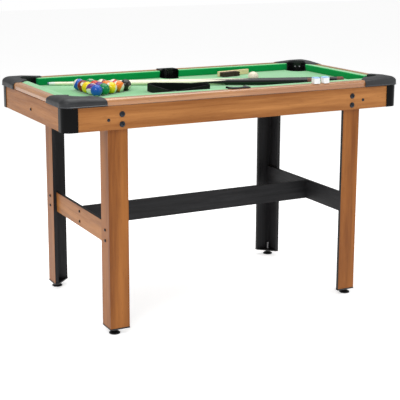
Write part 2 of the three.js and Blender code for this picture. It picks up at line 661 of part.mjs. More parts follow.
function addChalkAndBrush() {
  const half = CHALK.side / 2;
  const cube = box([-half, -half, 0], [half, half, CHALK.side]);
  CHALK.places.forEach((x, index) => {
    const mesh = piece(`chalk_${index + 1}`, cube, CHALK_PAPER, equipment);
    mesh.position.set(x, -(HALF_WIDTH - RAIL_WIDTH / 2), RAIL_TOP + GAP);
    mesh.rotation.z = (index * 2 - 1) * CHALK.turn * RADIANS;
  });
  const { length, back, height, hair, depth, hairHeight } = BRUSH;
  const handle = solid(box([-length / 2, 0, 0], [length / 2, back, height]));
  const bristles = solid(box([-length / 2 + 3, -depth, 1], [-length / 2 + 3 + hair, WELD, 1 + hairHeight]));
  const mesh = piece('cloth_brush', geometryOf(handle.add(bristles)), BRUSH_WOOD, equipment);
  mesh.position.set(BRUSH.x, FIELD_Y - BRUSH.fromNose, CLOTH_TOP + GAP);
  mesh.rotation.z = BRUSH.turn * RADIANS;
}

// ---------------------------------------------------------------- assembly

addRails();
addPosts();
addBed();
addCushions();
addCornerPockets();
addSidePockets();
addLegs();
addStretchers();
addBalls();
addCues();
addTriangle();
addChalkAndBrush();

const poolTable = new THREE.Group();
poolTable.add(table, equipment);

export default poolTable;
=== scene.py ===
"""Looks of a four-foot pool table with its balls, cues and accessories.

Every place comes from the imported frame, in metres, with +Z up. The classes below
follow the table as it is built: the frame, the bed, the pockets, the legs, the
hardware and the loose equipment.
"""

import json
import logging
import math
from collections.abc import Callable, Iterable, Sequence
from dataclasses import dataclass, field
from enum import Enum

import bmesh
import bpy
from bmesh.types import BMEdge, BMesh, BMFace, BMVert
from mathutils import Euler, Matrix, Vector


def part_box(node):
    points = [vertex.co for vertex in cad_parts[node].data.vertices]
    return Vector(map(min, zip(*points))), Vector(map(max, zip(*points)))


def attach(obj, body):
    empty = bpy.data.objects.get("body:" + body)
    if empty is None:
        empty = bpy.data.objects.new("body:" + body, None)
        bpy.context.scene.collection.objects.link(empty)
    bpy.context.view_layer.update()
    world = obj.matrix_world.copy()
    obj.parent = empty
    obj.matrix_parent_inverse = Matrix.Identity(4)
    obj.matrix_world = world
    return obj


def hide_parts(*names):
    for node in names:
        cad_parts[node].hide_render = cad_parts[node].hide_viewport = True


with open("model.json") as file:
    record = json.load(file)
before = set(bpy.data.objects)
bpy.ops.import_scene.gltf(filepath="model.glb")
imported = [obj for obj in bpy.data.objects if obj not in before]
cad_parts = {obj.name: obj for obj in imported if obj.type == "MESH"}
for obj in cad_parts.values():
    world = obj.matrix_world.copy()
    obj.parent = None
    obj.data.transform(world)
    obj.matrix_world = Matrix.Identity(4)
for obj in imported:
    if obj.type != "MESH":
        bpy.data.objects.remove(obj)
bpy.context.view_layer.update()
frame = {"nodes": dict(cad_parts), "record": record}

log = logging.getLogger("pool_table")

MM = 0.001
BODIES: dict[str, list[str]] = frame["record"]["behaviour"]["bodies"]
BODY_OF: dict[str, str] = {node: body for body, nodes in BODIES.items() for node in nodes}
Colour = tuple[float, float, float]


class Corner(Enum):
    """The four corners of the table, as the signs of X and Y."""

    BACK_RIGHT = (1, 1)
    BACK_LEFT = (-1, 1)
    FRONT_LEFT = (-1, -1)
    FRONT_RIGHT = (1, -1)

    @property
    def label(self) -> str:
        """The corner's part of a piece name."""
        return self.name.lower()


class Side(Enum):
    """The four sides of the table, as the quarter turns from the front."""

    FRONT = 0
    RIGHT = 1
    BACK = 2
    LEFT = 3

    @property
    def label(self) -> str:
        """The side's part of a piece name."""
        return self.name.lower()

    @property
    def turn(self) -> Matrix:
        """The turn that brings the front side to this one."""
        return Matrix.Rotation(self.value * math.pi / 2, 4, "Z")


class Grain(Enum):
    """The direction that a board's grain runs in."""

    ALONG_X = (1.0, 0.0, 0.0)
    ALONG_Y = (0.0, 1.0, 0.0)
    ALONG_Z = (0.0, 0.0, 1.0)

    def stretch(self, along: float, across: float) -> tuple[float, float, float]:
        """Pattern repeats per metre on X, Y and Z, for this direction."""
        return tuple(along if share else across for share in self.value)


# ---------------------------------------------------------------- node building


class Graph:
    """A node tree with the few calls that every finish needs."""

    def __init__(self, tree: bpy.types.NodeTree) -> None:
        """Keeps the tree that the nodes go into."""
        self.tree = tree

    def node(self, kind: str, inputs: dict | None = None, **settings: object) -> bpy.types.Node:
        """Adds one node.

        Args:
            kind: The node's Blender type.
            inputs: Socket name or index to a value, or to another node's output.
            settings: The node's own properties.

        Returns:
            The new node.
        """
        made = self.tree.nodes.new(kind)
        for key, value in settings.items():
            setattr(made, key, value)
        for key, value in (inputs or {}).items():
            socket = made.inputs[key]
            if isinstance(value, bpy.types.NodeSocket):
                self.tree.links.new(value, socket)
            else:
                socket.default_value = value
        return made

    def math(self, operation: str, *values: object, clamp: bool = False) -> bpy.types.NodeSocket:
        """The output of a Math node on up to three values or sockets."""
        made = self.node("ShaderNodeMath", dict(enumerate(values)), operation=operation, use_clamp=clamp)
        return made.outputs[0]

    def mix(self, factor: object, first: object, second: object) -> bpy.types.NodeSocket:
        """The output of a colour mix of first and second by factor."""
        made = self.node("ShaderNodeMix", {0: factor, 6: first, 7: second}, data_type="RGBA")
        return made.outputs[2]

    def fit(
        self, value: object, low: float, high: float, to_low: float, to_high: float,
    ) -> bpy.types.NodeSocket:
        """The output of a clamped map from low..high to to_low..to_high."""
        made = self.node("ShaderNodeMapRange", {0: value, 1: low, 2: high, 3: to_low, 4: to_high})
        return made.outputs[0]

    def scaled(self, vector: object, scale: Sequence[float]) -> bpy.types.NodeSocket:
        """The output of a vector multiplied by a scale on each axis."""
        made = self.node("ShaderNodeVectorMath", {0: vector, 1: tuple(scale)}, operation="MULTIPLY")
        return made.outputs[0]

    def noise(
        self, vector: object, scale: float, detail: float = 3.0, rough: float = 0.5,
    ) -> bpy.types.NodeSocket:
        """The grey output of a noise texture."""
        made = self.node("ShaderNodeTexNoise", {
            "Vector": vector, "Scale": scale, "Detail": detail, "Roughness": rough,
        })
        return made.outputs[0]


class NodeGroups:
    """The effects that several finishes share, each built once."""

    def __init__(self) -> None:
        """Builds every shared group."""
        self.grain = self._grain()
        self.pebble = self._pebble()
        self.wear = self._wear()
        self.smudge = self._smudge()
        self.felt = self._felt()

    @staticmethod
    def _new(name: str, inputs: Iterable[tuple], outputs: Iterable[tuple]) -> tuple:
        """Makes an empty group with its sockets.

        Args:
            name: The group's name.
            inputs: (name, socket type, default) of each input.
            outputs: (name, socket type) of each output.

        Returns:
            The group, its graph, its input node and its output node.
        """
        group = bpy.data.node_groups.new(name, "ShaderNodeTree")
        for label, kind, default in inputs:
            socket = group.interface.new_socket(name=label, in_out="INPUT", socket_type=kind)
            if default is not None:
                socket.default_value = default
        for label, kind in outputs:
            group.interface.new_socket(name=label, in_out="OUTPUT", socket_type=kind)
        graph = Graph(group)
        return group, graph, graph.node("NodeGroupInput"), graph.node("NodeGroupOutput")

    def _grain(self) -> bpy.types.NodeTree:
        """Printed wood grain: broad bands, fibres and short dark pores."""
        group, graph, given, out = self._new(
            "wood_grain",
            [("Vector", "NodeSocketVector", None), ("Light", "NodeSocketColor", (0.5, 0.22, 0.09, 1)),
             ("Dark", "NodeSocketColor", (0.3, 0.11, 0.04, 1)),
             ("Pore", "NodeSocketColor", (0.14, 0.05, 0.02, 1)), ("Contrast", "NodeSocketFloat", 1.0)],
            [("Color", "NodeSocketColor"), ("Height", "NodeSocketFloat"), ("Roughness", "NodeSocketFloat")],
        )
        vector = given.outputs["Vector"]
        drift = graph.node("ShaderNodeTexNoise", {"Vector": vector, "Scale": 0.35, "Detail": 2.0})
        bent = graph.node("ShaderNodeVectorMath", {
            0: drift.outputs["Color"], 1: (1.1, 1.1, 1.1), 2: vector,
        }, operation="MULTIPLY_ADD").outputs[0]
        bands = graph.noise(bent, 1.0, 2.0, 0.45)
        rings = graph.noise(graph.scaled(bent, (3.1, 3.1, 3.1)), 1.0, 2.0, 0.6)
        fibres = graph.noise(graph.scaled(vector, (14.0, 14.0, 14.0)), 1.0, 3.0, 0.7)
        pores = graph.noise(graph.scaled(vector, (26.0, 26.0, 26.0)), 1.0, 1.0, 0.5)
        tone = graph.math("ADD", graph.math("MULTIPLY", bands, 0.62), graph.math("MULTIPLY", rings, 0.38))
        tone = graph.fit(tone, 0.34, 0.66, 0.0, 1.0)
        tone = graph.math("ADD", tone, graph.math("MULTIPLY", graph.math("SUBTRACT", fibres, 0.5), 0.35))
        tone = graph.math("MULTIPLY", tone, given.outputs["Contrast"], clamp=True)
        base = graph.mix(tone, given.outputs["Light"], given.outputs["Dark"])
        dashes = graph.fit(pores, 0.66, 0.8, 0.0, 0.55)
        graph.tree.links.new(graph.mix(dashes, base, given.outputs["Pore"]), out.inputs["Color"])
        graph.tree.links.new(graph.math("SUBTRACT", fibres, dashes), out.inputs["Height"])
        graph.tree.links.new(graph.fit(fibres, 0.3, 0.7, 0.34, 0.46), out.inputs["Roughness"])
        return group

    def _pebble(self) -> bpy.types.NodeTree:
        """Fine leather-like texture of a moulded part."""
        group, graph, given, out = self._new(
            "moulded_texture",
            [("Vector", "NodeSocketVector", None), ("Scale", "NodeSocketFloat", 900.0)],
            [("Height", "NodeSocketFloat"), ("Mottle", "NodeSocketFloat")],
        )
        cells = graph.node("ShaderNodeTexVoronoi", {
            "Vector": given.outputs["Vector"], "Scale": given.outputs["Scale"],
        }, feature="SMOOTH_F1")
        speck = graph.node("ShaderNodeTexNoise", {
            "Vector": given.outputs["Vector"], "Scale": given.outputs["Scale"], "Detail": 2.0,
        })
        height = graph.math("ADD", cells.outputs["Distance"], graph.math("MULTIPLY", speck.outputs[0], 0.5))
        graph.tree.links.new(height, out.inputs["Height"])
        broad = graph.noise(given.outputs["Vector"], 38.0, 4.0, 0.6)
        graph.tree.links.new(graph.fit(broad, 0.3, 0.7, 0.0, 1.0), out.inputs["Mottle"])
        return group

    def _wear(self) -> bpy.types.NodeTree:
        """Mask of rubbed edges, broken up by noise."""
        group, graph, given, out = self._new(
            "edge_wear",
            [("Vector", "NodeSocketVector", None), ("Radius", "NodeSocketFloat", 0.0015)],
            [("Mask", "NodeSocketFloat")],
        )
        bevel = graph.node("ShaderNodeBevel", {"Radius": given.outputs["Radius"]}, samples=4)
        true_normal = graph.node("ShaderNodeNewGeometry").outputs["Normal"]
        dot = graph.node("ShaderNodeVectorMath", {
            0: bevel.outputs[0], 1: true_normal,
        }, operation="DOT_PRODUCT")
        edge = graph.fit(dot.outputs["Value"], 0.995, 0.9, 0.0, 1.0)
        patches = graph.fit(graph.noise(given.outputs["Vector"], 160.0, 4.0, 0.7), 0.42, 0.62, 0.0, 1.0)
        graph.tree.links.new(graph.math("MULTIPLY", edge, patches), out.inputs["Mask"])
        return group

    def _smudge(self) -> bpy.types.NodeTree:
        """Handling marks: slow changes of gloss."""
        group, graph, given, out = self._new(
            "handling_marks",
            [("Vector", "NodeSocketVector", None), ("Low", "NodeSocketFloat", 0.15),
             ("High", "NodeSocketFloat", 0.3)],
            [("Roughness", "NodeSocketFloat")],
        )
        marks = graph.noise(given.outputs["Vector"], 26.0, 5.0, 0.62)
        fit = graph.node("ShaderNodeMapRange", {
            0: marks, 1: 0.35, 2: 0.7, 3: given.outputs["Low"], 4: given.outputs["High"],
        })
        graph.tree.links.new(fit.outputs[0], out.inputs["Roughness"])
        return group

    def _felt(self) -> bpy.types.NodeTree:
        """Napped table cloth: crossed threads under a short brushed pile."""
        group, graph, given, out = self._new(
            "table_cloth",
            [("Vector", "NodeSocketVector", None), ("Colour", "NodeSocketColor", (0.1, 0.5, 0.15, 1)),
             ("Shade", "NodeSocketColor", (0.05, 0.35, 0.1, 1)), ("Threads", "NodeSocketFloat", 1500.0)],
            [("Color", "NodeSocketColor"), ("Height", "NodeSocketFloat")],
        )
        vector = given.outputs["Vector"]
        parts = graph.node("ShaderNodeSeparateXYZ", {0: vector})
        wave_x = graph.math("SINE", graph.math("MULTIPLY", parts.outputs[0], given.outputs["Threads"]))
        wave_y = graph.math("SINE", graph.math("MULTIPLY", parts.outputs[1], given.outputs["Threads"]))
        wave_z = graph.math("SINE", graph.math("MULTIPLY", parts.outputs[2], given.outputs["Threads"]))
        weave = graph.math("MULTIPLY", graph.math("ADD", graph.math("ADD", wave_x, wave_y), wave_z), 0.17)
        pile = graph.noise(graph.scaled(vector, (1.0, 0.35, 1.0)), 1400.0, 3.0, 0.7)
        brushed = graph.noise(vector, 9.0, 4.0, 0.6)
        fine, broad = graph.fit(pile, 0.3, 0.7, 0.0, 0.55), graph.fit(brushed, 0.3, 0.7, 0.0, 0.45)
        dyed = graph.mix(graph.math("ADD", fine, broad), given.outputs["Colour"], given.outputs["Shade"])
        graph.tree.links.new(dyed, out.inputs["Color"])
        graph.tree.links.new(graph.math("ADD", weave, pile), out.inputs["Height"])
        return group


GROUPS = NodeGroups()


def opaque(colour: Colour) -> tuple[float, float, float, float]:
    """The colour with full alpha, as a socket takes it."""
    return (*colour, 1.0)


class Bench:
    """One material being built: its graph, shader and object coordinates."""

    def __init__(self, name: str) -> None:
        """Makes an empty material with a Principled shader."""
        self.material = bpy.data.materials.new(name)
        self.material.use_nodes = True
        self.graph = Graph(self.material.node_tree)
        self.shader = self.material.node_tree.nodes["Principled BSDF"]
        self.place = self.graph.node("ShaderNodeTexCoord").outputs["Object"]

    def set(self, **values: float) -> None:
        """Sets constant values on the shader's own sockets, with _ for a space."""
        for key, value in values.items():
            self.shader.inputs[key.replace("_", " ")].default_value = value

    def link(self, source: bpy.types.NodeSocket, socket: str) -> None:
        """Feeds one of the shader's sockets."""
        self.graph.tree.links.new(source, self.shader.inputs[socket])

    def group(self, tree: bpy.types.NodeTree, inputs: dict) -> bpy.types.Node:
        """Places a shared group in the material."""
        made = self.graph.node("ShaderNodeGroup", node_tree=tree)
        for key, value in inputs.items():
            socket = made.inputs[key]
            if isinstance(value, bpy.types.NodeSocket):
                self.graph.tree.links.new(value, socket)
            else:
                socket.default_value = value
        return made

    def bump(self, height: bpy.types.NodeSocket, strength: float, distance: float) -> None:
        """Feeds the shader's normal from a height."""
        made = self.graph.node("ShaderNodeBump", {
            "Height": height, "Strength": strength, "Distance": distance,
        })
        self.link(made.outputs[0], "Normal")


@dataclass(frozen=True)
class WoodLaminate:
    """Wood-print laminate of the rails, aprons and legs."""

    name: str
    grain: Grain
    light: Colour = (0.47, 0.195, 0.054)
    dark: Colour = (0.25, 0.083, 0.016)
    pore: Colour = (0.11, 0.036, 0.010)
    along: float = 1.5
    across: float = 26.0
    contrast: float = 1.1
    coat: float = 0.05
    coat_index: float = 1.5
    specular: float = 0.2

    def build(self) -> bpy.types.Material:
        """The finished material."""
        bench = Bench(self.name)
        stretched = bench.graph.scaled(bench.place, self.grain.stretch(self.along, self.across))
        grain = bench.group(GROUPS.grain, {
            "Vector": stretched, "Light": opaque(self.light), "Dark": opaque(self.dark),
            "Pore": opaque(self.pore), "Contrast": self.contrast,
        })
        worn = bench.group(GROUPS.wear, {"Vector": bench.place, "Radius": 0.0009})
        pale = tuple(min(1.0, channel * 1.25) for channel in self.light)
        mask = bench.graph.math("MULTIPLY", worn.outputs["Mask"], 0.35)
        bench.link(bench.graph.mix(mask, grain.outputs["Color"], opaque(pale)), "Base Color")
        bench.link(grain.outputs["Roughness"], "Roughness")
        bench.bump(grain.outputs["Height"], 0.10, 0.0002)
        bench.set(Coat_Weight=self.coat, Coat_Roughness=0.25, Coat_IOR=self.coat_index)
        bench.set(Specular_IOR_Level=self.specular)
        return bench.material


@dataclass(frozen=True)
class BlackBoard:
    """Black-faced board with a faint pressed grain."""

    name: str
    grain: Grain
    colour: Colour = (0.010, 0.010, 0.011)
    pale: Colour = (0.022, 0.022, 0.024)
    rough: float = 0.5

    def build(self) -> bpy.types.Material:
        """The finished material."""
        bench = Bench(self.name)
        stretched = bench.graph.scaled(bench.place, self.grain.stretch(6.0, 90.0))
        grain = bench.group(GROUPS.grain, {
            "Vector": stretched, "Light": opaque(self.pale), "Dark": opaque(self.colour),
            "Pore": opaque(self.colour), "Contrast": 1.0,
        })
        worn = bench.group(GROUPS.wear, {"Vector": bench.place, "Radius": 0.0009})
        mask = bench.graph.math("MULTIPLY", worn.outputs["Mask"], 0.5)
        bench.link(bench.graph.mix(mask, grain.outputs["Color"], (0.09, 0.085, 0.08, 1.0)), "Base Color")
        bench.link(bench.graph.math("ADD", grain.outputs["Roughness"], self.rough - 0.4), "Roughness")
        bench.bump(grain.outputs["Height"], 0.25, 0.0002)
        bench.set(Specular_IOR_Level=0.2)
        return bench.material


@dataclass(frozen=True)
class Plastic:
    """Moulded plastic, from satin and textured to polished."""

    name: str
    colour: Colour
    low: float = 0.2
    high: float = 0.3
    texture: float = 900.0
    depth: float = 0.1
    wear: float = 0.3
    specular: float = 0.5

    def build(self) -> bpy.types.Material:
        """The finished material."""
        bench = Bench(self.name)
        pebble = bench.group(GROUPS.pebble, {"Vector": bench.place, "Scale": self.texture})
        worn = bench.group(GROUPS.wear, {"Vector": bench.place, "Radius": 0.0012})
        shade = tuple(channel * 0.72 for channel in self.colour)
        rubbed = tuple(channel * 1.5 + 0.02 for channel in self.colour)
        base = bench.graph.mix(pebble.outputs["Mottle"], opaque(self.colour), opaque(shade))
        mask = bench.graph.math("MULTIPLY", worn.outputs["Mask"], self.wear)
        bench.link(bench.graph.mix(mask, base, opaque(rubbed)), "Base Color")
        marks = bench.group(GROUPS.smudge, {"Vector": bench.place, "Low": self.low, "High": self.high})
        bench.link(marks.outputs["Roughness"], "Roughness")
        bench.bump(pebble.outputs["Height"], self.depth, 0.0003)
        bench.set(Specular_IOR_Level=self.specular)
        return bench.material


@dataclass(frozen=True)
class TableCloth:
    """Napped green cloth."""

    name: str
    colour: Colour
    shade: Colour
    sheen: float = 0.5

    def build(self) -> bpy.types.Material:
        """The finished material."""
        bench = Bench(self.name)
        felt = bench.group(GROUPS.felt, {
            "Vector": bench.place, "Colour": opaque(self.colour), "Shade": opaque(self.shade),
        })
        bench.link(felt.outputs["Color"], "Base Color")
        bench.bump(felt.outputs["Height"], 0.35, 0.0004)
        bench.set(Roughness=0.95, Specular_IOR_Level=0.1, Sheen_Weight=self.sheen, Sheen_Roughness=0.45)
        return bench.material


@dataclass(frozen=True)
class Fibreboard:
    """Raw pressed-fibre face, as under the bed."""

    name: str
    colour: Colour = (0.20, 0.125, 0.07)

    def build(self) -> bpy.types.Material:
        """The finished material."""
        bench = Bench(self.name)
        pebble = bench.group(GROUPS.pebble, {"Vector": bench.place, "Scale": 420.0})
        shade = tuple(channel * 0.6 for channel in self.colour)
        mottled = bench.graph.mix(pebble.outputs["Mottle"], opaque(self.colour), opaque(shade))
        bench.link(mottled, "Base Color")
        bench.bump(pebble.outputs["Height"], 0.4, 0.0004)
        bench.set(Roughness=0.8)
        return bench.material


@dataclass(frozen=True)
class Steel:
    """Plated or blackened steel of screws, bolts and studs."""

    name: str
    colour: Colour
    rough: float = 0.28

    def build(self) -> bpy.types.Material:
        """The finished material."""
        bench = Bench(self.name)
        worn = bench.group(GROUPS.wear, {"Vector": bench.place, "Radius": 0.0005})
        bright = tuple(min(1.0, channel * 2.0 + 0.12) for channel in self.colour)
        mask = bench.graph.math("MULTIPLY", worn.outputs["Mask"], 0.55)
        bench.link(bench.graph.mix(mask, opaque(self.colour), opaque(bright)), "Base Color")
        marks = bench.group(GROUPS.smudge, {
            "Vector": bench.place, "Low": self.rough * 0.8, "High": self.rough * 1.3,
        })
        bench.link(marks.outputs["Roughness"], "Roughness")
        bench.set(Metallic=0.85)
        return bench.material


@dataclass(frozen=True)
class Turned:
    """Clear-lacquered pale wood, as on the cues and the brush."""

    name: str
    grain: Grain
    light: Colour = (0.84, 0.66, 0.40)
    dark: Colour = (0.72, 0.52, 0.28)
    coat: float = 0.5

    def build(self) -> bpy.types.Material:
        """The finished material."""
        bench = Bench(self.name)
        stretched = bench.graph.scaled(bench.place, self.grain.stretch(7.0, 160.0))
        grain = bench.group(GROUPS.grain, {
            "Vector": stretched, "Light": opaque(self.light), "Dark": opaque(self.dark),
            "Pore": opaque(self.dark), "Contrast": 0.6,
        })
        bench.link(grain.outputs["Color"], "Base Color")
        bench.link(grain.outputs["Roughness"], "Roughness")
        bench.bump(grain.outputs["Height"], 0.08, 0.0001)
        bench.set(Coat_Weight=self.coat, Coat_Roughness=0.12)
        return bench.material


@dataclass(frozen=True)
class Speckled:
    """Matt grainy stuff: chalk, leather, rubber and paper."""

    name: str
    colour: Colour
    shade: Colour
    scale: float = 700.0
    rough: float = 0.85
    depth: float = 0.4

    def build(self) -> bpy.types.Material:
        """The finished material."""
        bench = Bench(self.name)
        pebble = bench.group(GROUPS.pebble, {"Vector": bench.place, "Scale": self.scale})
        mottled = bench.graph.mix(pebble.outputs["Mottle"], opaque(self.colour), opaque(self.shade))
        bench.link(mottled, "Base Color")
        bench.bump(pebble.outputs["Height"], self.depth, 0.0003)
        bench.set(Roughness=self.rough)
        return bench.material


@dataclass(frozen=True)
class BallResin:
    """Polished phenolic ball, solid or striped, with two plain number spots."""

    name: str
    colour: Colour
    centre: tuple[float, float, float]
    turn: tuple[float, float, float]
    radius: float
    striped: bool
    spotted: bool
    ivory: Colour = (0.90, 0.84, 0.70)
    band: float = 0.56
    spot: float = 0.36
    blur: float = 0.012

    def build(self) -> bpy.types.Material:
        """The finished material."""
        bench = Bench(self.name)
        graph = bench.graph
        local = graph.node("ShaderNodeMapping", {
            "Vector": bench.place, "Location": self.centre, "Rotation": self.turn,
            "Scale": (self.radius,) * 3,
        }, vector_type="TEXTURE").outputs[0]
        parts = graph.node("ShaderNodeSeparateXYZ", {0: local})
        cloud = graph.noise(local, 2.2, 3.0, 0.5)
        deep = tuple(channel * 0.86 for channel in self.colour)
        resin = graph.mix(cloud, opaque(self.colour), opaque(deep))
        pale = graph.mix(cloud, opaque(self.ivory), opaque(tuple(c * 0.94 for c in self.ivory)))
        painted = resin
        if self.striped:
            height = graph.math("ABSOLUTE", parts.outputs[2])
            outside = graph.fit(height, self.band - self.blur, self.band + self.blur, 0.0, 1.0)
            painted = graph.mix(outside, resin, pale)
        if self.spotted:
            squares = [graph.math("POWER", parts.outputs[axis], 2.0) for axis in (1, 2)]
            off_axis = graph.math("SQRT", graph.math("ADD", *squares))
            inside = graph.fit(off_axis, self.spot - self.blur, self.spot + self.blur, 1.0, 0.0)
            painted = graph.mix(inside, painted, pale)
        bench.link(painted, "Base Color")
        marks = bench.group(GROUPS.smudge, {"Vector": bench.place, "Low": 0.04, "High": 0.10})
        bench.link(marks.outputs["Roughness"], "Roughness")
        bench.set(Coat_Weight=0.35, Coat_Roughness=0.03, Specular_IOR_Level=0.3)
        return bench.material


@dataclass(frozen=True)
class CueButt:
    """Butt of a cue: long pale points let into black lacquer."""

    name: str
    tip: tuple[float, float, float]
    turn: tuple[float, float, float]
    start: float
    length: float
    points: int = 4
    maple: Colour = (0.95, 0.89, 0.72)
    vein: Colour = (0.88, 0.78, 0.57)
    black: Colour = (0.005, 0.005, 0.006)

    def build(self) -> bpy.types.Material:
        """The finished material."""
        bench = Bench(self.name)
        graph = bench.graph
        local = graph.node("ShaderNodeMapping", {
            "Vector": bench.place, "Location": self.tip, "Rotation": self.turn,
        }, vector_type="TEXTURE").outputs[0]
        parts = graph.node("ShaderNodeSeparateXYZ", {0: local})
        angle = graph.math("ARCTAN2", parts.outputs[2], parts.outputs[1])
        wave = graph.math("PINGPONG", graph.math("MULTIPLY", angle, self.points / math.pi), 1.0)
        reach = graph.math("MULTIPLY", wave, self.length)
        past = graph.math("SUBTRACT", parts.outputs[0], graph.math("ADD", reach, self.start))
        black = graph.fit(past, 0.0, 0.0012, 0.0, 1.0)
        grain = bench.group(GROUPS.grain, {
            "Vector": graph.scaled(local, (7.0, 160.0, 160.0)), "Light": opaque(self.maple),
            "Dark": opaque(self.vein), "Pore": opaque(self.vein), "Contrast": 0.6,
        })
        bench.link(graph.mix(black, grain.outputs["Color"], opaque(self.black)), "Base Color")
        marks = bench.group(GROUPS.smudge, {"Vector": bench.place, "Low": 0.1, "High": 0.2})
        bench.link(marks.outputs["Roughness"], "Roughness")
        bench.set(Coat_Weight=0.25, Coat_Roughness=0.08, Specular_IOR_Level=0.3)
        return bench.material


# ---------------------------------------------------------------- mesh building


def box_of(node: str) -> tuple[Vector, Vector]:
    """The lowest and highest corner of a node of the frame."""
    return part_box(node)


def block(low: Sequence[float], high: Sequence[float]) -> BMesh:
    """A box between two corners."""
    low, high = Vector(low), Vector(high)
    size = high - low
    made = bmesh.new()
    matrix = Matrix.Translation((low + high) / 2) @ Matrix.Diagonal((*size, 1.0))
    bmesh.ops.create_cube(made, size=1.0, matrix=matrix)
    return made


def prism(outline: Iterable[Sequence[float]], bottom: float, top: float) -> BMesh:
    """A closed outline, seen from above, raised from bottom to top."""
    made = bmesh.new()
    face = made.faces.new([made.verts.new((x, y, bottom)) for x, y in outline])
    raised = bmesh.ops.extrude_face_region(made, geom=[face], use_keep_orig=True)
    moved = [item for item in raised["geom"] if isinstance(item, BMVert)]
    bmesh.ops.translate(made, verts=moved, vec=(0, 0, top - bottom))
    bmesh.ops.recalc_face_normals(made, faces=made.faces)
    return made


def profile_bar(section: Iterable[Sequence[float]], start: float, end: float, steps: int = 1) -> BMesh:
    """A bar along X.

    Args:
        section: (y, z) points of the closed section.
        start: X of the first end.
        end: X of the other end.
        steps: How many lengths the bar is divided into.

    Returns:
        The bar, closed at both ends.
    """
    made = bmesh.new()
    face = made.faces.new([made.verts.new((start, y, z)) for y, z in section])
    raised = bmesh.ops.extrude_face_region(made, geom=[face], use_keep_orig=True)
    moved = [item for item in raised["geom"] if isinstance(item, BMVert)]
    bmesh.ops.translate(made, verts=moved, vec=(end - start, 0, 0))
    for step in range(1, steps):
        cut_at = start + (end - start) * step / steps
        bmesh.ops.bisect_plane(
            made, geom=[*made.verts, *made.edges, *made.faces],
            plane_co=(cut_at, 0, 0), plane_no=(1, 0, 0))
    bmesh.ops.recalc_face_normals(made, faces=made.faces)
    return made


def spun(profile: Sequence[tuple[float, float]], steps: int = 48) -> BMesh:
    """A turned solid about Z, from (radius, height) pairs that start and end on the axis."""
    made = bmesh.new()
    verts = [made.verts.new((radius, 0.0, height)) for radius, height in profile]
    edges = [made.edges.new(pair) for pair in zip(verts, verts[1:])]
    bmesh.ops.spin(
        made, geom=[*verts, *edges], cent=(0, 0, 0), axis=(0, 0, 1), dvec=(0, 0, 0),
        angle=2 * math.pi, steps=steps, use_merge=True, use_duplicate=False)
    bmesh.ops.remove_doubles(made, verts=made.verts, dist=0.5e-5)
    bmesh.ops.recalc_face_normals(made, faces=made.faces)
    return made


def arc(
    centre: Sequence[float], radius: float, start: float, end: float, steps: int,
) -> list[tuple[float, float]]:
    """Points of an arc, angles in degrees, both ends included."""
    angles = [math.radians(start + (end - start) * step / steps) for step in range(steps + 1)]
    return [(centre[0] + radius * math.cos(a), centre[1] + radius * math.sin(a)) for a in angles]


def bevel(made: BMesh, edges: Iterable[BMEdge], width: float, segments: int = 3) -> None:
    """Rounds the given edges."""
    bmesh.ops.bevel(
        made, geom=list(edges), offset=width, offset_type="OFFSET", segments=segments,
        profile=0.5, affect="EDGES", clamp_overlap=True, material=-1)


def sharp(made: BMesh, degrees: float = 30.0) -> list[BMEdge]:
    """The edges where two faces meet at more than an angle."""
    limit = math.radians(degrees)
    return [e for e in made.edges if len(e.link_faces) == 2 and e.calc_face_angle(0.0) > limit]


def softened(made: BMesh, width: float, segments: int = 2, degrees: float = 30.0) -> BMesh:
    """The same mesh with every sharp edge rounded."""
    bevel(made, sharp(made, degrees), width, segments)
    return made


def edges_where(made: BMesh, test: Callable[[Vector], bool]) -> list[BMEdge]:
    """The edges whose two ends both pass a test of their place."""
    return [e for e in made.edges if all(test(v.co) for v in e.verts)]


def upright(made: BMesh, test: Callable[[Vector], bool]) -> list[BMEdge]:
    """The vertical edges whose middle passes a test of its place."""
    return [
        e for e in made.edges
        if abs(e.verts[0].co.z - e.verts[1].co.z) > 1e-4
        and (e.verts[0].co.xy - e.verts[1].co.xy).length < 1e-6
        and test((e.verts[0].co + e.verts[1].co) / 2)
    ]


def moved(made: BMesh, matrix: Matrix) -> BMesh:
    """The same mesh, moved by a matrix."""
    bmesh.ops.transform(made, matrix=matrix, verts=made.verts)
    if matrix.determinant() < 0:
        bmesh.ops.reverse_faces(made, faces=made.faces)
    return made


def joined(*parts: BMesh) -> BMesh:
    """One mesh that holds all the parts; the parts are used up."""
    whole = bmesh.new()
    for part in parts:
        mesh = bpy.data.meshes.new("part")
        part.to_mesh(mesh)
        part.free()
        whole.from_mesh(mesh)
        bpy.data.meshes.remove(mesh)
    return whole


def dressed(made: BMesh, index: int, test: Callable[[BMFace], bool] = lambda face: True) -> BMesh:
    """The same mesh with one material index on the faces that pass a test."""
    for face in made.faces:
        if test(face):
            face.material_index = index
    return made


def as_object(made: BMesh, name: str) -> bpy.types.Object:
    """A linked object that holds the mesh; the bmesh is used up."""
    mesh = bpy.data.meshes.new(name)
    made.to_mesh(mesh)
    made.free()
    piece = bpy.data.objects.new(name, mesh)
    bpy.context.scene.collection.objects.link(piece)
    return piece


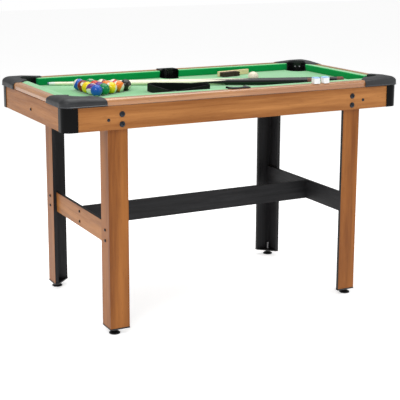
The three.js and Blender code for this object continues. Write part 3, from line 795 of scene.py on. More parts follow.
def carved(body: BMesh, *cutters: BMesh) -> BMesh:
    """The body with the cutters taken out of it; all of them are used up."""
    target = as_object(body, "body")
    tools = [as_object(cutter, "cutter") for cutter in cutters]
    for tool in tools:
        modifier = target.modifiers.new("cut", "BOOLEAN")
        modifier.operation = "DIFFERENCE"
        modifier.solver = "EXACT"
        modifier.object = tool
    shaped = target.evaluated_get(bpy.context.evaluated_depsgraph_get()).to_mesh()
    result = bmesh.new()
    result.from_mesh(shaped)
    for item in [target, *tools]:
        mesh = item.data
        bpy.data.objects.remove(item)
        bpy.data.meshes.remove(mesh)
    bmesh.ops.remove_doubles(result, verts=result.verts, dist=1e-6)
    bmesh.ops.dissolve_limit(
        result, angle_limit=math.radians(1.0), verts=result.verts, edges=result.edges)
    return result


def delivered(
    made: BMesh, name: str, body: str, finishes: Sequence[bpy.types.Material],
    replaces: Sequence[str] = (), angle: float = 32.0,
    round_off: float = 0.0,
) -> bpy.types.Object:
    """Turns a mesh into a finished piece of the table.

    Args:
        made: The mesh, in its place; it is used up.
        name: The piece's name.
        body: The body that it moves with.
        finishes: Its materials, by material index.
        replaces: The nodes of the frame that it stands for.
        angle: Edges sharper than this stay sharp in the shading, in degrees.
        round_off: Width of a rounding on every sharp edge, or 0 for none.

    Returns:
        The piece.
    """
    for face in made.faces:
        face.smooth = True
    piece = as_object(made, name)
    for finish in finishes:
        piece.data.materials.append(finish)
    if round_off:
        rounding = piece.modifiers.new("rounding", "BEVEL")
        rounding.width = round_off
        rounding.segments = 2
        rounding.limit_method = "ANGLE"
        rounding.angle_limit = math.radians(angle)
        rounding.harden_normals = False
    else:
        piece.data.set_sharp_from_angle(angle=math.radians(angle))
    weighted = piece.modifiers.new("even shading", "WEIGHTED_NORMAL")
    weighted.keep_sharp = True
    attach(piece, body)
    if replaces:
        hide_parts(*replaces)
    log.info("piece %s on %s", name, body)
    return piece


def axis_ends(node: str) -> tuple[Vector, Vector]:
    """The centres of the two end faces of a long node, from low X to high X."""
    points = [vert.co.copy() for vert in frame["nodes"][node].data.vertices]
    low = min(points, key=lambda p: p.x)
    high = max(points, key=lambda p: p.x)
    along = (high - low).normalized()
    ends = []
    for reach, pick in ((min(p.dot(along) for p in points), -1), (max(p.dot(along) for p in points), 1)):
        near = [p for p in points if pick * (reach - p.dot(along)) < 0.0015]
        ends.append(sum(near, Vector()) / len(near))
    return ends[0], ends[1]


# ---------------------------------------------------------------- finishes in use


@dataclass
class Finishes:
    """Every material that more than one sub-assembly uses."""

    wood: dict[Grain, bpy.types.Material] = field(default_factory=lambda: {
        grain: WoodLaminate(f"wood_{grain.name.lower()}", grain).build()
        for grain in (Grain.ALONG_X, Grain.ALONG_Y)} | {
        Grain.ALONG_Z: WoodLaminate(
            "wood_along_z", Grain.ALONG_Z, (0.37, 0.132, 0.025), (0.20, 0.060, 0.009)).build()})
    # The rails' laminate is a paler copy of the aprons' one, under a strong clear coat; the paler colour is
    # painted light on the rounded rail, as if lit from above.
    rail_wood: dict[Grain, bpy.types.Material] = field(default_factory=lambda: {
        grain: WoodLaminate(
            f"rail_wood_{grain.name.lower()}", grain, (0.58, 0.27, 0.090), (0.36, 0.135, 0.034),
            coat=1.0, coat_index=1.9).build()
        for grain in (Grain.ALONG_X, Grain.ALONG_Y)})
    board: dict[Grain, bpy.types.Material] = field(default_factory=lambda: {
        grain: BlackBoard(f"black_board_{grain.name.lower()}", grain).build() for grain in Grain})
    cap: bpy.types.Material = field(default_factory=lambda: Plastic(
        "cap_plastic", (0.021, 0.0225, 0.025), 0.40, 0.54, 700.0, 0.22, 0.3, 0.42).build())
    post: bpy.types.Material = field(default_factory=lambda: Plastic(
        "post_plastic", (0.0025, 0.0025, 0.0028), 0.10, 0.20, 500.0, 0.02, 0.15, 0.10).build())
    # The lip band is glossier and far paler than the cap's plastic: the paler colour is a painted highlight
    # along the skirt's lower edge.
    lip: bpy.types.Material = field(default_factory=lambda: Plastic(
        "cap_lip", (0.10, 0.105, 0.115), 0.12, 0.22, 700.0, 0.02, 0.2, 0.9).build())
    rack: bpy.types.Material = field(default_factory=lambda: Plastic(
        "rack_plastic", (0.0035, 0.0035, 0.004), 0.42, 0.56, 700.0, 0.1, 0.2, 0.08).build())
    pocket: bpy.types.Material = field(default_factory=lambda: Plastic(
        "pocket_plastic", (0.0055, 0.0055, 0.0065), 0.20, 0.34, 600.0, 0.05, 0.2, 0.35).build())
    foot: bpy.types.Material = field(default_factory=lambda: Plastic(
        "foot_plastic", (0.008, 0.008, 0.009), 0.28, 0.42, 800.0, 0.12, 0.3).build())
    black_steel: bpy.types.Material = field(default_factory=lambda: Steel(
        "blackened_steel", (0.030, 0.034, 0.042), 0.24).build())
    zinc: bpy.types.Material = field(default_factory=lambda: Steel(
        "zinc_plating", (0.55, 0.56, 0.58), 0.30).build())
    fibre: bpy.types.Material = field(default_factory=lambda: Fibreboard("raw_fibreboard").build())


# ---------------------------------------------------------------- frame


@dataclass
class TableFrame:
    """The four sides of the table and its corner posts."""

    finishes: Finishes
    board: float = 14 * MM
    board_setback: float = 1.8 * MM
    band: float = 20 * MM
    groove: float = 2.4 * MM
    nose: float = 11 * MM
    seam: float = 0.25 * MM
    post_block: float = 30 * MM
    post_wing: float = 46 * MM
    post_skin: float = 2 * MM
    post_radius: float = 28 * MM

    def build(self) -> None:
        """Makes the sides and the posts."""
        for side in Side:
            self.apron(side)
            self.rail(side)
        for corner in Corner:
            self.post(corner)

    def measures(self, side: Side) -> tuple[float, float, float, float, float]:
        """Half length, outer face, inner edge, bottom and top of a side, as if it were the front."""
        low, high = box_of(f"{side.label}_rail")
        if side in (Side.FRONT, Side.BACK):
            outer = max(abs(low.y), abs(high.y))
            return high.x, outer, min(abs(low.y), abs(high.y)), low.z, high.z
        outer = max(abs(low.x), abs(high.x))
        return high.y, outer, min(abs(low.x), abs(high.x)), low.z, high.z

    def apron(self, side: Side) -> None:
        """The upright board: wood outside, black inside."""
        half, outer, _, bottom, top = self.measures(side)
        face = -(outer - self.board_setback)
        made = block((-half, face, bottom), (half, face + self.board, top - self.band - self.groove))
        bevel(made, sharp(made), 0.7 * MM, 2)
        inside = [f for f in made.faces if f.normal.y > 0.5]
        for inner in inside:
            inner.material_index = 1
        moved(made, side.turn)
        grain = Grain.ALONG_X if side in (Side.FRONT, Side.BACK) else Grain.ALONG_Y
        delivered(
            made, f"{side.label}_apron_board", "table",
            [self.finishes.wood[grain], self.finishes.board[grain]],
            [f"{side.label}_rail"])

    def rail(self, side: Side) -> None:
        """The rounded rail on top of the board, with the shadow groove under it."""
        half, outer, inner, _, top = self.measures(side)
        seat = box_of("cushion_front_left")[0].z
        under = top - self.band
        face = -outer
        section = [
            (face + self.board_setback + self.board, under - self.groove + self.seam),
            (face + self.board_setback + self.groove, under - self.groove + self.seam),
            (face + self.board_setback + self.groove, under),
            (face, under + 0.8 * MM),
            *[(face + self.nose - self.nose * math.cos(a), top - self.nose + self.nose * math.sin(a))
              for a in (math.radians(step * 90 / 12) for step in range(13))],
            (-inner, top),
            (-inner, seat),
            (face + self.board_setback + self.board, seat),
        ]
        made = profile_bar(section, -half, half)
        moved(made, side.turn)
        grain = Grain.ALONG_X if side in (Side.FRONT, Side.BACK) else Grain.ALONG_Y
        # The moulding takes the paler, painted-light copy of the laminate.
        delivered(
            made, f"{side.label}_rail_moulding", "table", [self.finishes.rail_wood[grain]],
            [f"{side.label}_rail"])

    def post(self, corner: Corner) -> None:
        """A corner post: a rounded block, with thin wings below the groove."""
        node = f"corner_post_{corner.label}"
        low, high = box_of(node)
        wing_top = box_of("front_rail")[1].z - self.band - self.groove - 0.3 * MM
        outline = [
            (-self.post_wing, 0.0), (-self.post_wing, -self.post_skin), (-self.post_block, -self.post_skin),
            (-self.post_block, -self.post_block), (-self.post_skin, -self.post_block),
            (-self.post_skin, -self.post_wing), (0.0, -self.post_wing),
            (0.0, -self.post_radius),
            *arc((-self.post_radius, -self.post_radius), self.post_radius, 5, 85, 14),
            (-self.post_radius, 0.0),
        ]
        lower = prism(outline, low.z, wing_top)
        bevel(lower, sharp(lower, 40.0), 0.6 * MM, 2)
        upper_outline = [
            (-self.post_block, 0.0), (-self.post_block, -self.post_block), (0.0, -self.post_block),
            (0.0, -self.post_radius),
            *arc((-self.post_radius, -self.post_radius), self.post_radius, 5, 85, 14),
            (-self.post_radius, 0.0),
        ]
        upper = prism(upper_outline, wing_top + 0.05 * MM, high.z)
        inner = -self.post_block - 0.5 * MM
        bevel(upper, edges_where(upper, lambda p: p.z > high.z - 1e-5 and p.x + p.y > inner), self.nose, 5)
        made = joined(lower, upper)
        shift = Matrix.Translation((abs(low.x if corner.value[0] < 0 else high.x),
                                    abs(low.y if corner.value[1] < 0 else high.y), 0))
        sx, sy = corner.value
        mirror = Matrix.Diagonal((sx, sy, 1, 1))
        moved(made, mirror @ shift)
        delivered(
            made, f"{corner.label}_corner_post", "table", [self.finishes.post], [node])


# ---------------------------------------------------------------- bed


@dataclass
class PlayingBed:
    """The bed board, its cloth and the six cushions."""

    finishes: Finishes
    lean: float = 6 * MM
    back_fall: float = 2.2 * MM
    corner_mitre: float = 31 * MM
    side_mitre: float = 4 * MM
    # The bed cloth is a much paler copy of the cushions' green cloth: painted light, standing in for the
    # overhead light and sheen on the flat upward faces; the cushion noses keep the cloth's own green.
    cloth_mat: bpy.types.Material = field(default_factory=lambda: TableCloth(
        "bed_cloth", (0.13, 0.58, 0.18), (0.08, 0.47, 0.12), 0.9).build())
    nose_mat: bpy.types.Material = field(default_factory=lambda: TableCloth(
        "cushion_cloth", (0.004, 0.34, 0.095), (0.002, 0.27, 0.07), 0.05).build())

    def build(self) -> None:
        """Dresses the board, then makes the cloth and the cushions."""
        board = frame["nodes"]["bed_board"]
        board.data.materials.clear()
        board.data.materials.append(self.finishes.fibre)
        self.cloth()
        for side, name in (
            (Side.FRONT, "front_left"), (Side.FRONT, "front_right"), (Side.RIGHT, "right_end"),
            (Side.BACK, "back_left"), (Side.BACK, "back_right"), (Side.LEFT, "left_end"),
        ):
            self.cushion(side, name)

    def cloth(self) -> None:
        """The stretched cloth, cut round the pockets, with softly rolled cut edges."""
        source = frame["nodes"]["bed_cloth"].data
        made = bmesh.new()
        made.from_mesh(source)
        bmesh.ops.remove_doubles(made, verts=made.verts, dist=1e-5)
        bmesh.ops.dissolve_limit(made, angle_limit=math.radians(2), verts=made.verts, edges=made.edges)
        top = max(vert.co.z for vert in made.verts)
        rim = [e for e in sharp(made, 60) if all(v.co.z > top - 1e-5 for v in e.verts)]
        bevel(made, rim, 0.8 * MM, 2)
        area = sum(f.calc_area() for f in made.faces if f.normal.z > 0.9)
        # The cloth takes the paler, painted-light copy of the green cloth.
        piece = delivered(made, "playing_cloth", "table", [self.cloth_mat], ["bed_cloth"])

    def cushion(self, side: Side, name: str) -> None:
        """A cloth-covered rubber cushion with mitred ends and a slightly crowned top."""
        node = f"cushion_{name}"
        low, high = box_of(node)
        back_to_front = side.turn.inverted()
        first, second = back_to_front @ low, back_to_front @ high
        start, end = sorted((first.x, second.x))
        back, nose = min(first.y, second.y), max(first.y, second.y)
        bottom, top = low.z, high.z
        crown = 0.35 * MM
        section = [
            (back, bottom), (back, top - self.back_fall), ((back + nose) / 2, top - crown),
            (nose - 3.2 * MM, top),
            (nose - 1.0 * MM, top - 1.3 * MM), (nose, top - 3.4 * MM), (nose - 0.6 * MM, top - 5.6 * MM),
            (nose - self.lean, bottom),
        ]
        made = profile_bar(section, start, end, 28)
        at_corner = {"left": "left" in name or side in (Side.RIGHT, Side.LEFT),
                     "right": "right" in name or side in (Side.RIGHT, Side.LEFT)}
        if side is Side.BACK:
            at_corner = {"left": at_corner["right"], "right": at_corner["left"]}
        left = self.corner_mitre if at_corner["left"] else self.side_mitre
        right = self.corner_mitre if at_corner["right"] else self.side_mitre
        for vert in made.verts:
            share = (vert.co.y - back) / (nose - back)
            if abs(vert.co.x - start) < 1e-6:
                vert.co.x += left * share
            elif abs(vert.co.x - end) < 1e-6:
                vert.co.x -= right * share
            else:
                along = (vert.co.x - start) / (end - start)
                inner = start + left * share + (end - start - (left + right) * share) * along
                vert.co.x = inner
        ends = [f for f in made.faces if abs(f.normal.x) > 0.5]
        rim = {e for f in ends for e in f.edges}
        bevel(made, rim, 0.9 * MM, 2)
        # The cushion's upward faces take the paler bed cloth: painted light on its top.
        dressed(made, 1, lambda face: face.normal.z > 0.75)
        moved(made, side.turn)
        piece = delivered(
            made, f"{name}_cushion", "table", [self.nose_mat, self.cloth_mat], [node],
            50.0)


# ---------------------------------------------------------------- pockets


@dataclass
class Pockets:
    """Four corner pockets with their caps, and two side pockets."""

    finishes: Finishes
    inset: float = 77 * MM
    radius: float = 33 * MM
    wall: float = 2.5 * MM
    overhang: float = 5 * MM
    wing: float = 138 * MM
    land: float = 56 * MM
    taper: float = 34 * MM
    rail: float = 27 * MM
    rail_nose: float = 10.6 * MM
    outer_radius: float = 33 * MM
    dome: float = 26 * MM
    dome_height: float = 16.5 * MM
    skirt_drop: float = 20.4 * MM
    tip_height: float = 2.5 * MM
    level: float = 66 * MM
    lip: float = 2.6 * MM
    step: float = 0.9 * MM
    tip_draw: float = 8 * MM
    top_rim: float = 1.6 * MM
    stations: int = 9
    clearance: float = 0.3 * MM
    mouth_offset: float = 6 * MM
    rib: float = 1.3 * MM
    rib_foot: float = 12 * MM
    rib_head: float = 3 * MM
    corner_fan: tuple[float, float, int] = (-18, 108, 10)
    side_fan: tuple[float, float, int] = (-155, -25, 9)
    screw_angles: tuple[float, float] = (38, 66)
    screw_lift: float = 10 * MM
    side_inset: float = 61 * MM
    side_radius: float = 31 * MM

    def build(self) -> None:
        """Makes every pocket."""
        for corner in Corner:
            self.cap(corner)
            self.cup(corner)
        for side in (Side.FRONT, Side.BACK):
            self.side_pocket(side)

    def heights(self) -> tuple[float, float, float]:
        """Rail top, cap top and cloth top."""
        return box_of("front_rail")[1].z, box_of("corner_pocket_back_right")[1].z, box_of("bed_cloth")[1].z

    def place(self, corner: Corner) -> Matrix:
        """Brings a shape with its outer corner at the origin, towards -X and -Y, to a corner."""
        low, high = box_of(f"corner_pocket_{corner.label}")
        sx, sy = corner.value
        x = max(abs(low.x), abs(high.x)) - self.overhang
        y = max(abs(low.y), abs(high.y)) - self.overhang
        return Matrix.Diagonal((sx, sy, 1, 1)) @ Matrix.Translation((x, y, 0))

    def cap(self, corner: Corner) -> None:
        """The satin cap: domed outer edge, two thinning wings and the pocket's mouth."""
        rail_top, cap_top, _ = self.heights()
        out, wing = self.overhang, self.wing
        skirt = rail_top - self.skirt_drop
        made = self.crown(skirt, cap_top, cap_top - rail_top - self.tip_height)
        gap, top = 0.4 * MM, rail_top + self.clearance
        room = prism([
            (-wing - 0.02, gap), (-wing - 0.02, -wing - 0.02), (gap, -wing - 0.02), (gap, gap),
        ], skirt - 0.01, top)
        bevel(room, upright(room, lambda p: p.x > 0 and p.y > 0), self.outer_radius - out, 12)
        bevel(room, edges_where(room, lambda p: p.z > top - 1e-5 and p.x + p.y > -wing - 0.0205),
              self.rail_nose, 6)
        hole = moved(spun([(0, skirt - 0.02), (self.radius, skirt - 0.02), (self.radius, cap_top + 0.01),
                           (0, cap_top + 0.01)], 64), Matrix.Translation((-self.inset, -self.inset, 0)))
        reach = self.radius + self.wall + 1 * MM
        centre = -self.inset
        mouth = prism([
            (centre - reach, centre - reach), (centre + reach - self.mouth_offset, centre - reach),
            (centre - reach, centre + reach - self.mouth_offset),
        ], skirt - 0.02, cap_top + 0.01)
        made = carved(made, room, hole, mouth)
        # The lip band takes the paler, glossier plastic: a painted highlight line along the skirt.
        low, high = skirt + self.lip - 0.1 * MM, skirt + self.lip + 1.1 * MM
        dressed(made, 1, lambda face: low < face.calc_center_median().z < high)
        moved(made, self.place(corner))
        delivered(
            made, f"{corner.label}_pocket_cap", "table", [self.finishes.cap, self.finishes.lip],
            [f"corner_pocket_{corner.label}"], 38.0, 0.7 * MM)

    def crown(self, skirt: float, top: float, fall: float) -> BMesh:
        """The solid that a cap is cut from.

        Args:
            skirt: Height of the skirt's lower edge.
            top: Height of the level part over the corner.
            fall: How far the wings drop from there to their tips.

        Returns:
            The solid, with its outer corner towards +X and +Y.
        """
        shoulder = skirt + self.lip + 1 * MM
        levels = [(0.0, skirt), (0.0, skirt + self.lip), (self.step, shoulder)]
        base = top - self.dome_height
        for turn in range(0, 91, 10):
            angle = math.radians(turn)
            inset = self.step + (self.dome - self.step) * (1 - math.cos(angle))
            levels.append((inset, base + self.dome_height * math.sin(angle)))
        made = bmesh.new()
        rings = [[made.verts.new((x, y, z)) for x, y in self.outline(inset)] for inset, z in levels]
        for lower, upper in zip(rings, rings[1:]):
            for first in range(len(lower)):
                second = (first + 1) % len(lower)
                made.faces.new((lower[first], lower[second], upper[second], upper[first]))
        made.faces.new(rings[0])
        made.faces.new(rings[-1])
        bmesh.ops.recalc_face_normals(made, faces=made.faces)
        rim = [e for e in sharp(made, 35) if all(v.co.z > top - 1e-5 for v in e.verts)]
        bevel(made, rim, self.top_rim, 3)
        for station in range(self.stations):
            distance = self.level + (self.wing - self.level) * station / self.stations
            for normal in ((1, 0, 0), (0, 1, 0)):
                bmesh.ops.bisect_plane(
                    made, geom=[*made.verts, *made.edges, *made.faces],
                    plane_co=-Vector(normal) * distance, plane_no=normal)
        for vert in made.verts:
            along = (max(-vert.co.x, -vert.co.y) - self.level) / (self.wing - self.level)
            share = max(0.0, vert.co.z - shoulder) / (top - shoulder)
            vert.co.z -= fall * min(1.0, max(0.0, along)) * share
        return made

    def outline(self, inset: float) -> list[tuple[float, float]]:
        """The cap's outline seen from above, with its outer edge drawn in."""
        edge, middle = self.overhang - inset, self.overhang - self.outer_radius
        tip = self.wing - self.tip_draw * inset / self.dome
        return [
            (-tip, edge), *arc((middle, middle), self.outer_radius - inset, 90, 0, 16), (edge, -tip),
            (-self.rail, -tip), (-self.land, -self.wing + self.taper), (-self.land, -self.land),
            (-self.wing + self.taper, -self.land), (-tip, -self.rail),
        ]

    def cup_shell(self, radius: float, top: float, steps: int = 64) -> BMesh:
        """An open cup about Z with a rounded floor."""
        floor = box_of("side_pocket_front")[0].z
        outer, turn = radius + self.wall, 5 * MM
        inside = [(radius - turn + turn * math.sin(a), floor + 3 * MM + turn - turn * math.cos(a))
                  for a in (math.radians(15 * step) for step in range(7))]
        outside = [(outer - turn + turn * math.cos(a), floor + turn - turn * math.sin(a))
                   for a in (math.radians(15 * step) for step in range(7))]
        return spun([
            (0, floor + 3 * MM), *inside, (radius, top - 0.6 * MM), (radius + 0.6 * MM, top),
            (outer - 0.4 * MM, top), (outer, top - 0.4 * MM), *outside, (0, floor),
        ], steps)

    def ribs(
        self, radius: float, low: float, high: float, fan: tuple[float, float, int],
    ) -> list[BMesh]:
        """Upright ribs round the inside of a cup.

        Args:
            radius: The cup's inner radius.
            low: Height of the ribs' lower ends.
            high: Height of their upper ends.
            fan: Angle of the first and the last rib, in degrees, and how many there are.

        Returns:
            The ribs.
        """
        first, last, count = fan
        made = []
        for step in range(count):
            angle = first + (last - first) * step / (count - 1)
            rib = block(
                (radius - self.rib, -self.rib / 2, low), (radius + self.wall / 2, self.rib / 2, high))
            softened(rib, 0.35 * MM, 2)
            made.append(moved(rib, Matrix.Rotation(math.radians(angle), 4, "Z")))
        return made

    def screw(self, radius: float, angle: float, height: float) -> BMesh:
        """A pan-head screw in the back wall of a pocket."""
        head = moved(screw_head(2.9 * MM, 1.7 * MM, 0.9 * MM), Matrix.Rotation(-math.pi / 2, 4, "Y"))
        moved(head, Matrix.Translation((radius, 0, height)))
        return moved(head, Matrix.Rotation(math.radians(angle), 4, "Z"))

    def cup(self, corner: Corner) -> None:
        """The glossy cup of a corner pocket, ribbed, its wall cut away towards the bed."""
        rail_top, _, cloth_top = self.heights()
        reach = self.radius + self.wall + 1 * MM
        mouth = prism([
            (-reach, -reach), (reach - self.mouth_offset, -reach), (-reach, reach - self.mouth_offset),
        ], cloth_top - 0.2 * MM, rail_top + 0.02)
        shell = carved(self.cup_shell(self.radius, rail_top), mouth)
        low = box_of("side_pocket_front")[0].z + self.rib_foot
        ribs = self.ribs(self.radius, low, rail_top - self.rib_head, self.corner_fan)
        screws = [dressed(self.screw(self.radius, angle, cloth_top + self.screw_lift), 1)
                  for angle in self.screw_angles]
        made = joined(shell, *ribs, *screws)
        moved(made, self.place(corner) @ Matrix.Translation((-self.inset, -self.inset, 0)))
        delivered(
            made, f"{corner.label}_pocket_cup", "table", [self.finishes.pocket, self.finishes.zinc],
            [f"corner_pocket_{corner.label}"])

    def side_pocket(self, side: Side) -> None:
        """A side pocket: ribbed cup and a square collar that fills the gap in the cushions."""
        node = f"side_pocket_{side.label}"
        rail_top, _, cloth_top = self.heights()
        low, high = box_of(node)
        half = high.x
        axis = box_of("corner_post_back_right")[1].y - self.side_inset
        lap = max(abs(low.y), abs(high.y)) - axis
        reach = self.side_radius + self.wall + 1 * MM
        shell = self.cup_shell(self.side_radius, rail_top - 0.3 * MM)
        away = block((-reach, 0, cloth_top), (reach, reach, rail_top + 0.02))
        shell = carved(shell, away)
        seat = box_of("cushion_front_left")[0].z
        collar = block((-half, -lap, seat), (half, 0, high.z))
        bevel(collar, edges_where(collar, lambda p: p.z > high.z - 1e-5), 1.8 * MM, 3)
        past = 10 * MM
        over_rail = block(
            (-half - past, -lap - past, seat - past), (half + past, -half, rail_top + self.clearance))
        bore = spun([(0, rail_top - 0.2), (self.side_radius, rail_top - 0.2),
                     (self.side_radius, rail_top + 0.02), (0, rail_top + 0.02)], 64)
        collar = carved(collar, over_rail, bore)
        ribs = self.ribs(
            self.side_radius, low.z + self.rib_foot, rail_top - self.rib_head, self.side_fan)
        made = joined(shell, collar, *ribs)
        moved(made, Matrix.Translation((0, -axis, 0)))
        if side is Side.BACK:
            moved(made, Matrix.Rotation(math.pi, 4, "Z"))
        delivered(
            made, f"{side.label}_side_pocket", "table", [self.finishes.pocket], [node],
            38.0, 0.5 * MM)


def screw_head(radius: float, height: float, recess: float) -> BMesh:
    """A domed head on the plane z = 0 with a six-sided recess, its crown towards +Z."""
    dome = [(radius * math.cos(a), height * 0.25 + height * 0.75 * math.sin(a))
            for a in (math.radians(11.25 * step) for step in range(8))]
    body = spun([(0, 0), (radius, 0), *dome, (0, height)], 32)
    socket = bmesh.new()
    bmesh.ops.create_cone(
        socket, cap_ends=True, cap_tris=False, segments=6, radius1=radius * 0.36, radius2=radius * 0.36,
        depth=recess * 2, matrix=Matrix.Translation((0, 0, height)))
    return carved(body, socket)


# ---------------------------------------------------------------- legs


@dataclass
class Legs:
    """Four folded-board legs with their end plates and levelling feet."""

    finishes: Finishes
    thickness: float = 12 * MM
    neck: float = 7.5 * MM
    stud: float = 4 * MM
    pitch: float = 1.25 * MM
    grips: int = 18

    def build(self) -> None:
        """Makes each corner's leg, plate and foot."""
        for corner in Corner:
            self.leg(corner)
            self.plate(corner)
            self.foot(corner)

    def leg(self, corner: Corner) -> None:
        """Two boards mitred along the outer corner, wood outside and black inside."""
        node = f"leg_{corner.label}"
        low, high = box_of(node)
        width, t = high.x - low.x, self.thickness
        made = prism([
            (0, 0), (-width, 0), (-width, -t), (-t, -t), (-t, -width), (0, -width),
        ], low.z, high.z)
        outer = upright(made, lambda p: p.x > -1e-6 and p.y > -1e-6)
        bevel(made, outer, 1.6 * MM, 3)
        bevel(made, sharp(made, 50), 0.5 * MM, 2)
        made.normal_update()
        dressed(made, 1, lambda face: face.normal.x < 0.5 and face.normal.y < 0.5)
        moved(made, self.outer_corner(low, high, corner))
        delivered(
            made, f"{corner.label}_leg", "table",
            [self.finishes.wood[Grain.ALONG_Z], self.finishes.board[Grain.ALONG_Z]],
            [node])

    @staticmethod
    def outer_corner(low: Vector, high: Vector, corner: Corner) -> Matrix:
        """Brings a shape with its outer corner at the origin to the outer corner of a box."""
        sx, sy = corner.value
        x, y = max(abs(low.x), abs(high.x)), max(abs(low.y), abs(high.y))
        return Matrix.Diagonal((sx, sy, 1, 1)) @ Matrix.Translation((x, y, 0))

    def plate(self, corner: Corner) -> None:
        """The moulded end plate, with rounded corners and a bore for the stud."""
        node = f"leg_plate_{corner.label}"
        low, high = box_of(node)
        width = high.x - low.x
        shoulder = -(self.thickness + 2 * MM)
        made = prism([
            (0, 0), (-width, 0), (-width, shoulder), (shoulder, -width), (0, -width),
        ], low.z, high.z)
        bevel(made, upright(made, lambda p: True), 2.0 * MM, 3)
        stud_place = self.stud_place(corner)
        x, y = abs(stud_place.x), abs(stud_place.y)
        shift = (x - max(abs(low.x), abs(high.x)), y - max(abs(low.y), abs(high.y)), 0)
        wide, deep = self.stud + 0.3 * MM, 100 * MM
        bore = moved(
            spun([(0, -deep), (wide, -deep), (wide, deep), (0, deep)], 32),
            Matrix.Translation((*shift[:2], low.z)))
        made = carved(made, bore)
        moved(made, self.outer_corner(low, high, corner))
        delivered(made, f"{corner.label}_leg_plate", "table", [self.finishes.foot], [node],
                  38.0, 0.5 * MM)

    @staticmethod
    def stud_place(corner: Corner) -> Vector:
        """The axis of a levelling foot."""
        low, high = box_of(f"levelling_foot_{corner.label}")
        return (low + high) / 2

    def foot(self, corner: Corner) -> None:
        """A gripped disc with a hexagon neck and a threaded stud."""
        node = f"levelling_foot_{corner.label}"
        low, high = box_of(node)
        plate_under = box_of(f"leg_plate_{corner.label}")[0].z
        radius = high.x - (low.x + high.x) / 2
        dome = [(radius * (1 - 0.58 * share), 3.4 * MM + 5.1 * MM * math.sin(share * math.pi / 2))
                for share in (step / 6 for step in range(7))]
        disc = spun([(0, 0), (radius - 1.6 * MM, 0), (radius - 0.3 * MM, 0.6 * MM), (radius, 1.6 * MM),
                     *dome, (0, 8.5 * MM)], 72)
        for vert in disc.verts:
            if vert.co.xy.length > radius * 0.97:
                angle = math.atan2(vert.co.y, vert.co.x)
                depth = 0.5 * MM * max(0.0, math.cos(angle * self.grips)) ** 4
                vert.co.xy *= 1 - depth / radius
        neck_top = plate_under - 0.4 * MM
        hexagon = bmesh.new()
        bmesh.ops.create_cone(
            hexagon, cap_ends=True, cap_tris=False, segments=6, radius1=self.neck, radius2=self.neck,
            depth=neck_top - 8.0 * MM, matrix=Matrix.Translation((0, 0, (neck_top + 8.0 * MM) / 2)))
        softened(hexagon, 0.5 * MM, 2)
        turns = int((high.z - neck_top) / self.pitch)
        thread = [(0, neck_top - 1 * MM), (self.stud * 0.9, neck_top - 1 * MM)]
        for step in range(turns):
            z = neck_top + step * self.pitch
            thread += [(self.stud * 0.86, z), (self.stud, z + self.pitch / 2)]
        thread += [(self.stud * 0.86, high.z - 0.5 * MM), (self.stud * 0.7, high.z), (0, high.z)]
        made = joined(disc, hexagon, dressed(spun(thread, 24), 1))
        moved(made, Matrix.Translation(((low.x + high.x) / 2, (low.y + high.y) / 2, low.z)))
        delivered(made, f"{corner.label}_levelling_foot", BODY_OF[node],
                  [self.finishes.foot, self.finishes.zinc], [node], 40.0)


@dataclass
class Stretchers:
    """The boards that join the legs."""

    finishes: Finishes

    def build(self) -> None:
        """Makes the two end stretchers and the long one."""
        for name, outward in (("end_stretcher_left", -1), ("end_stretcher_right", 1)):
            made = block(*box_of(name))
            bevel(made, sharp(made), 0.6 * MM, 2)
            made.normal_update()
            dressed(made, 1, lambda face, outward=outward: face.normal.x * outward < 0.6)
            delivered(
                made, f"{name}_board", "table",
                [self.finishes.wood[Grain.ALONG_Y], self.finishes.board[Grain.ALONG_Y]],
                [name])
        made = block(*box_of("long_stretcher"))
        bevel(made, sharp(made), 0.6 * MM, 2)
        delivered(made, "long_stretcher_board", "table", [self.finishes.board[Grain.ALONG_X]],
                  ["long_stretcher"])


# ---------------------------------------------------------------- hardware


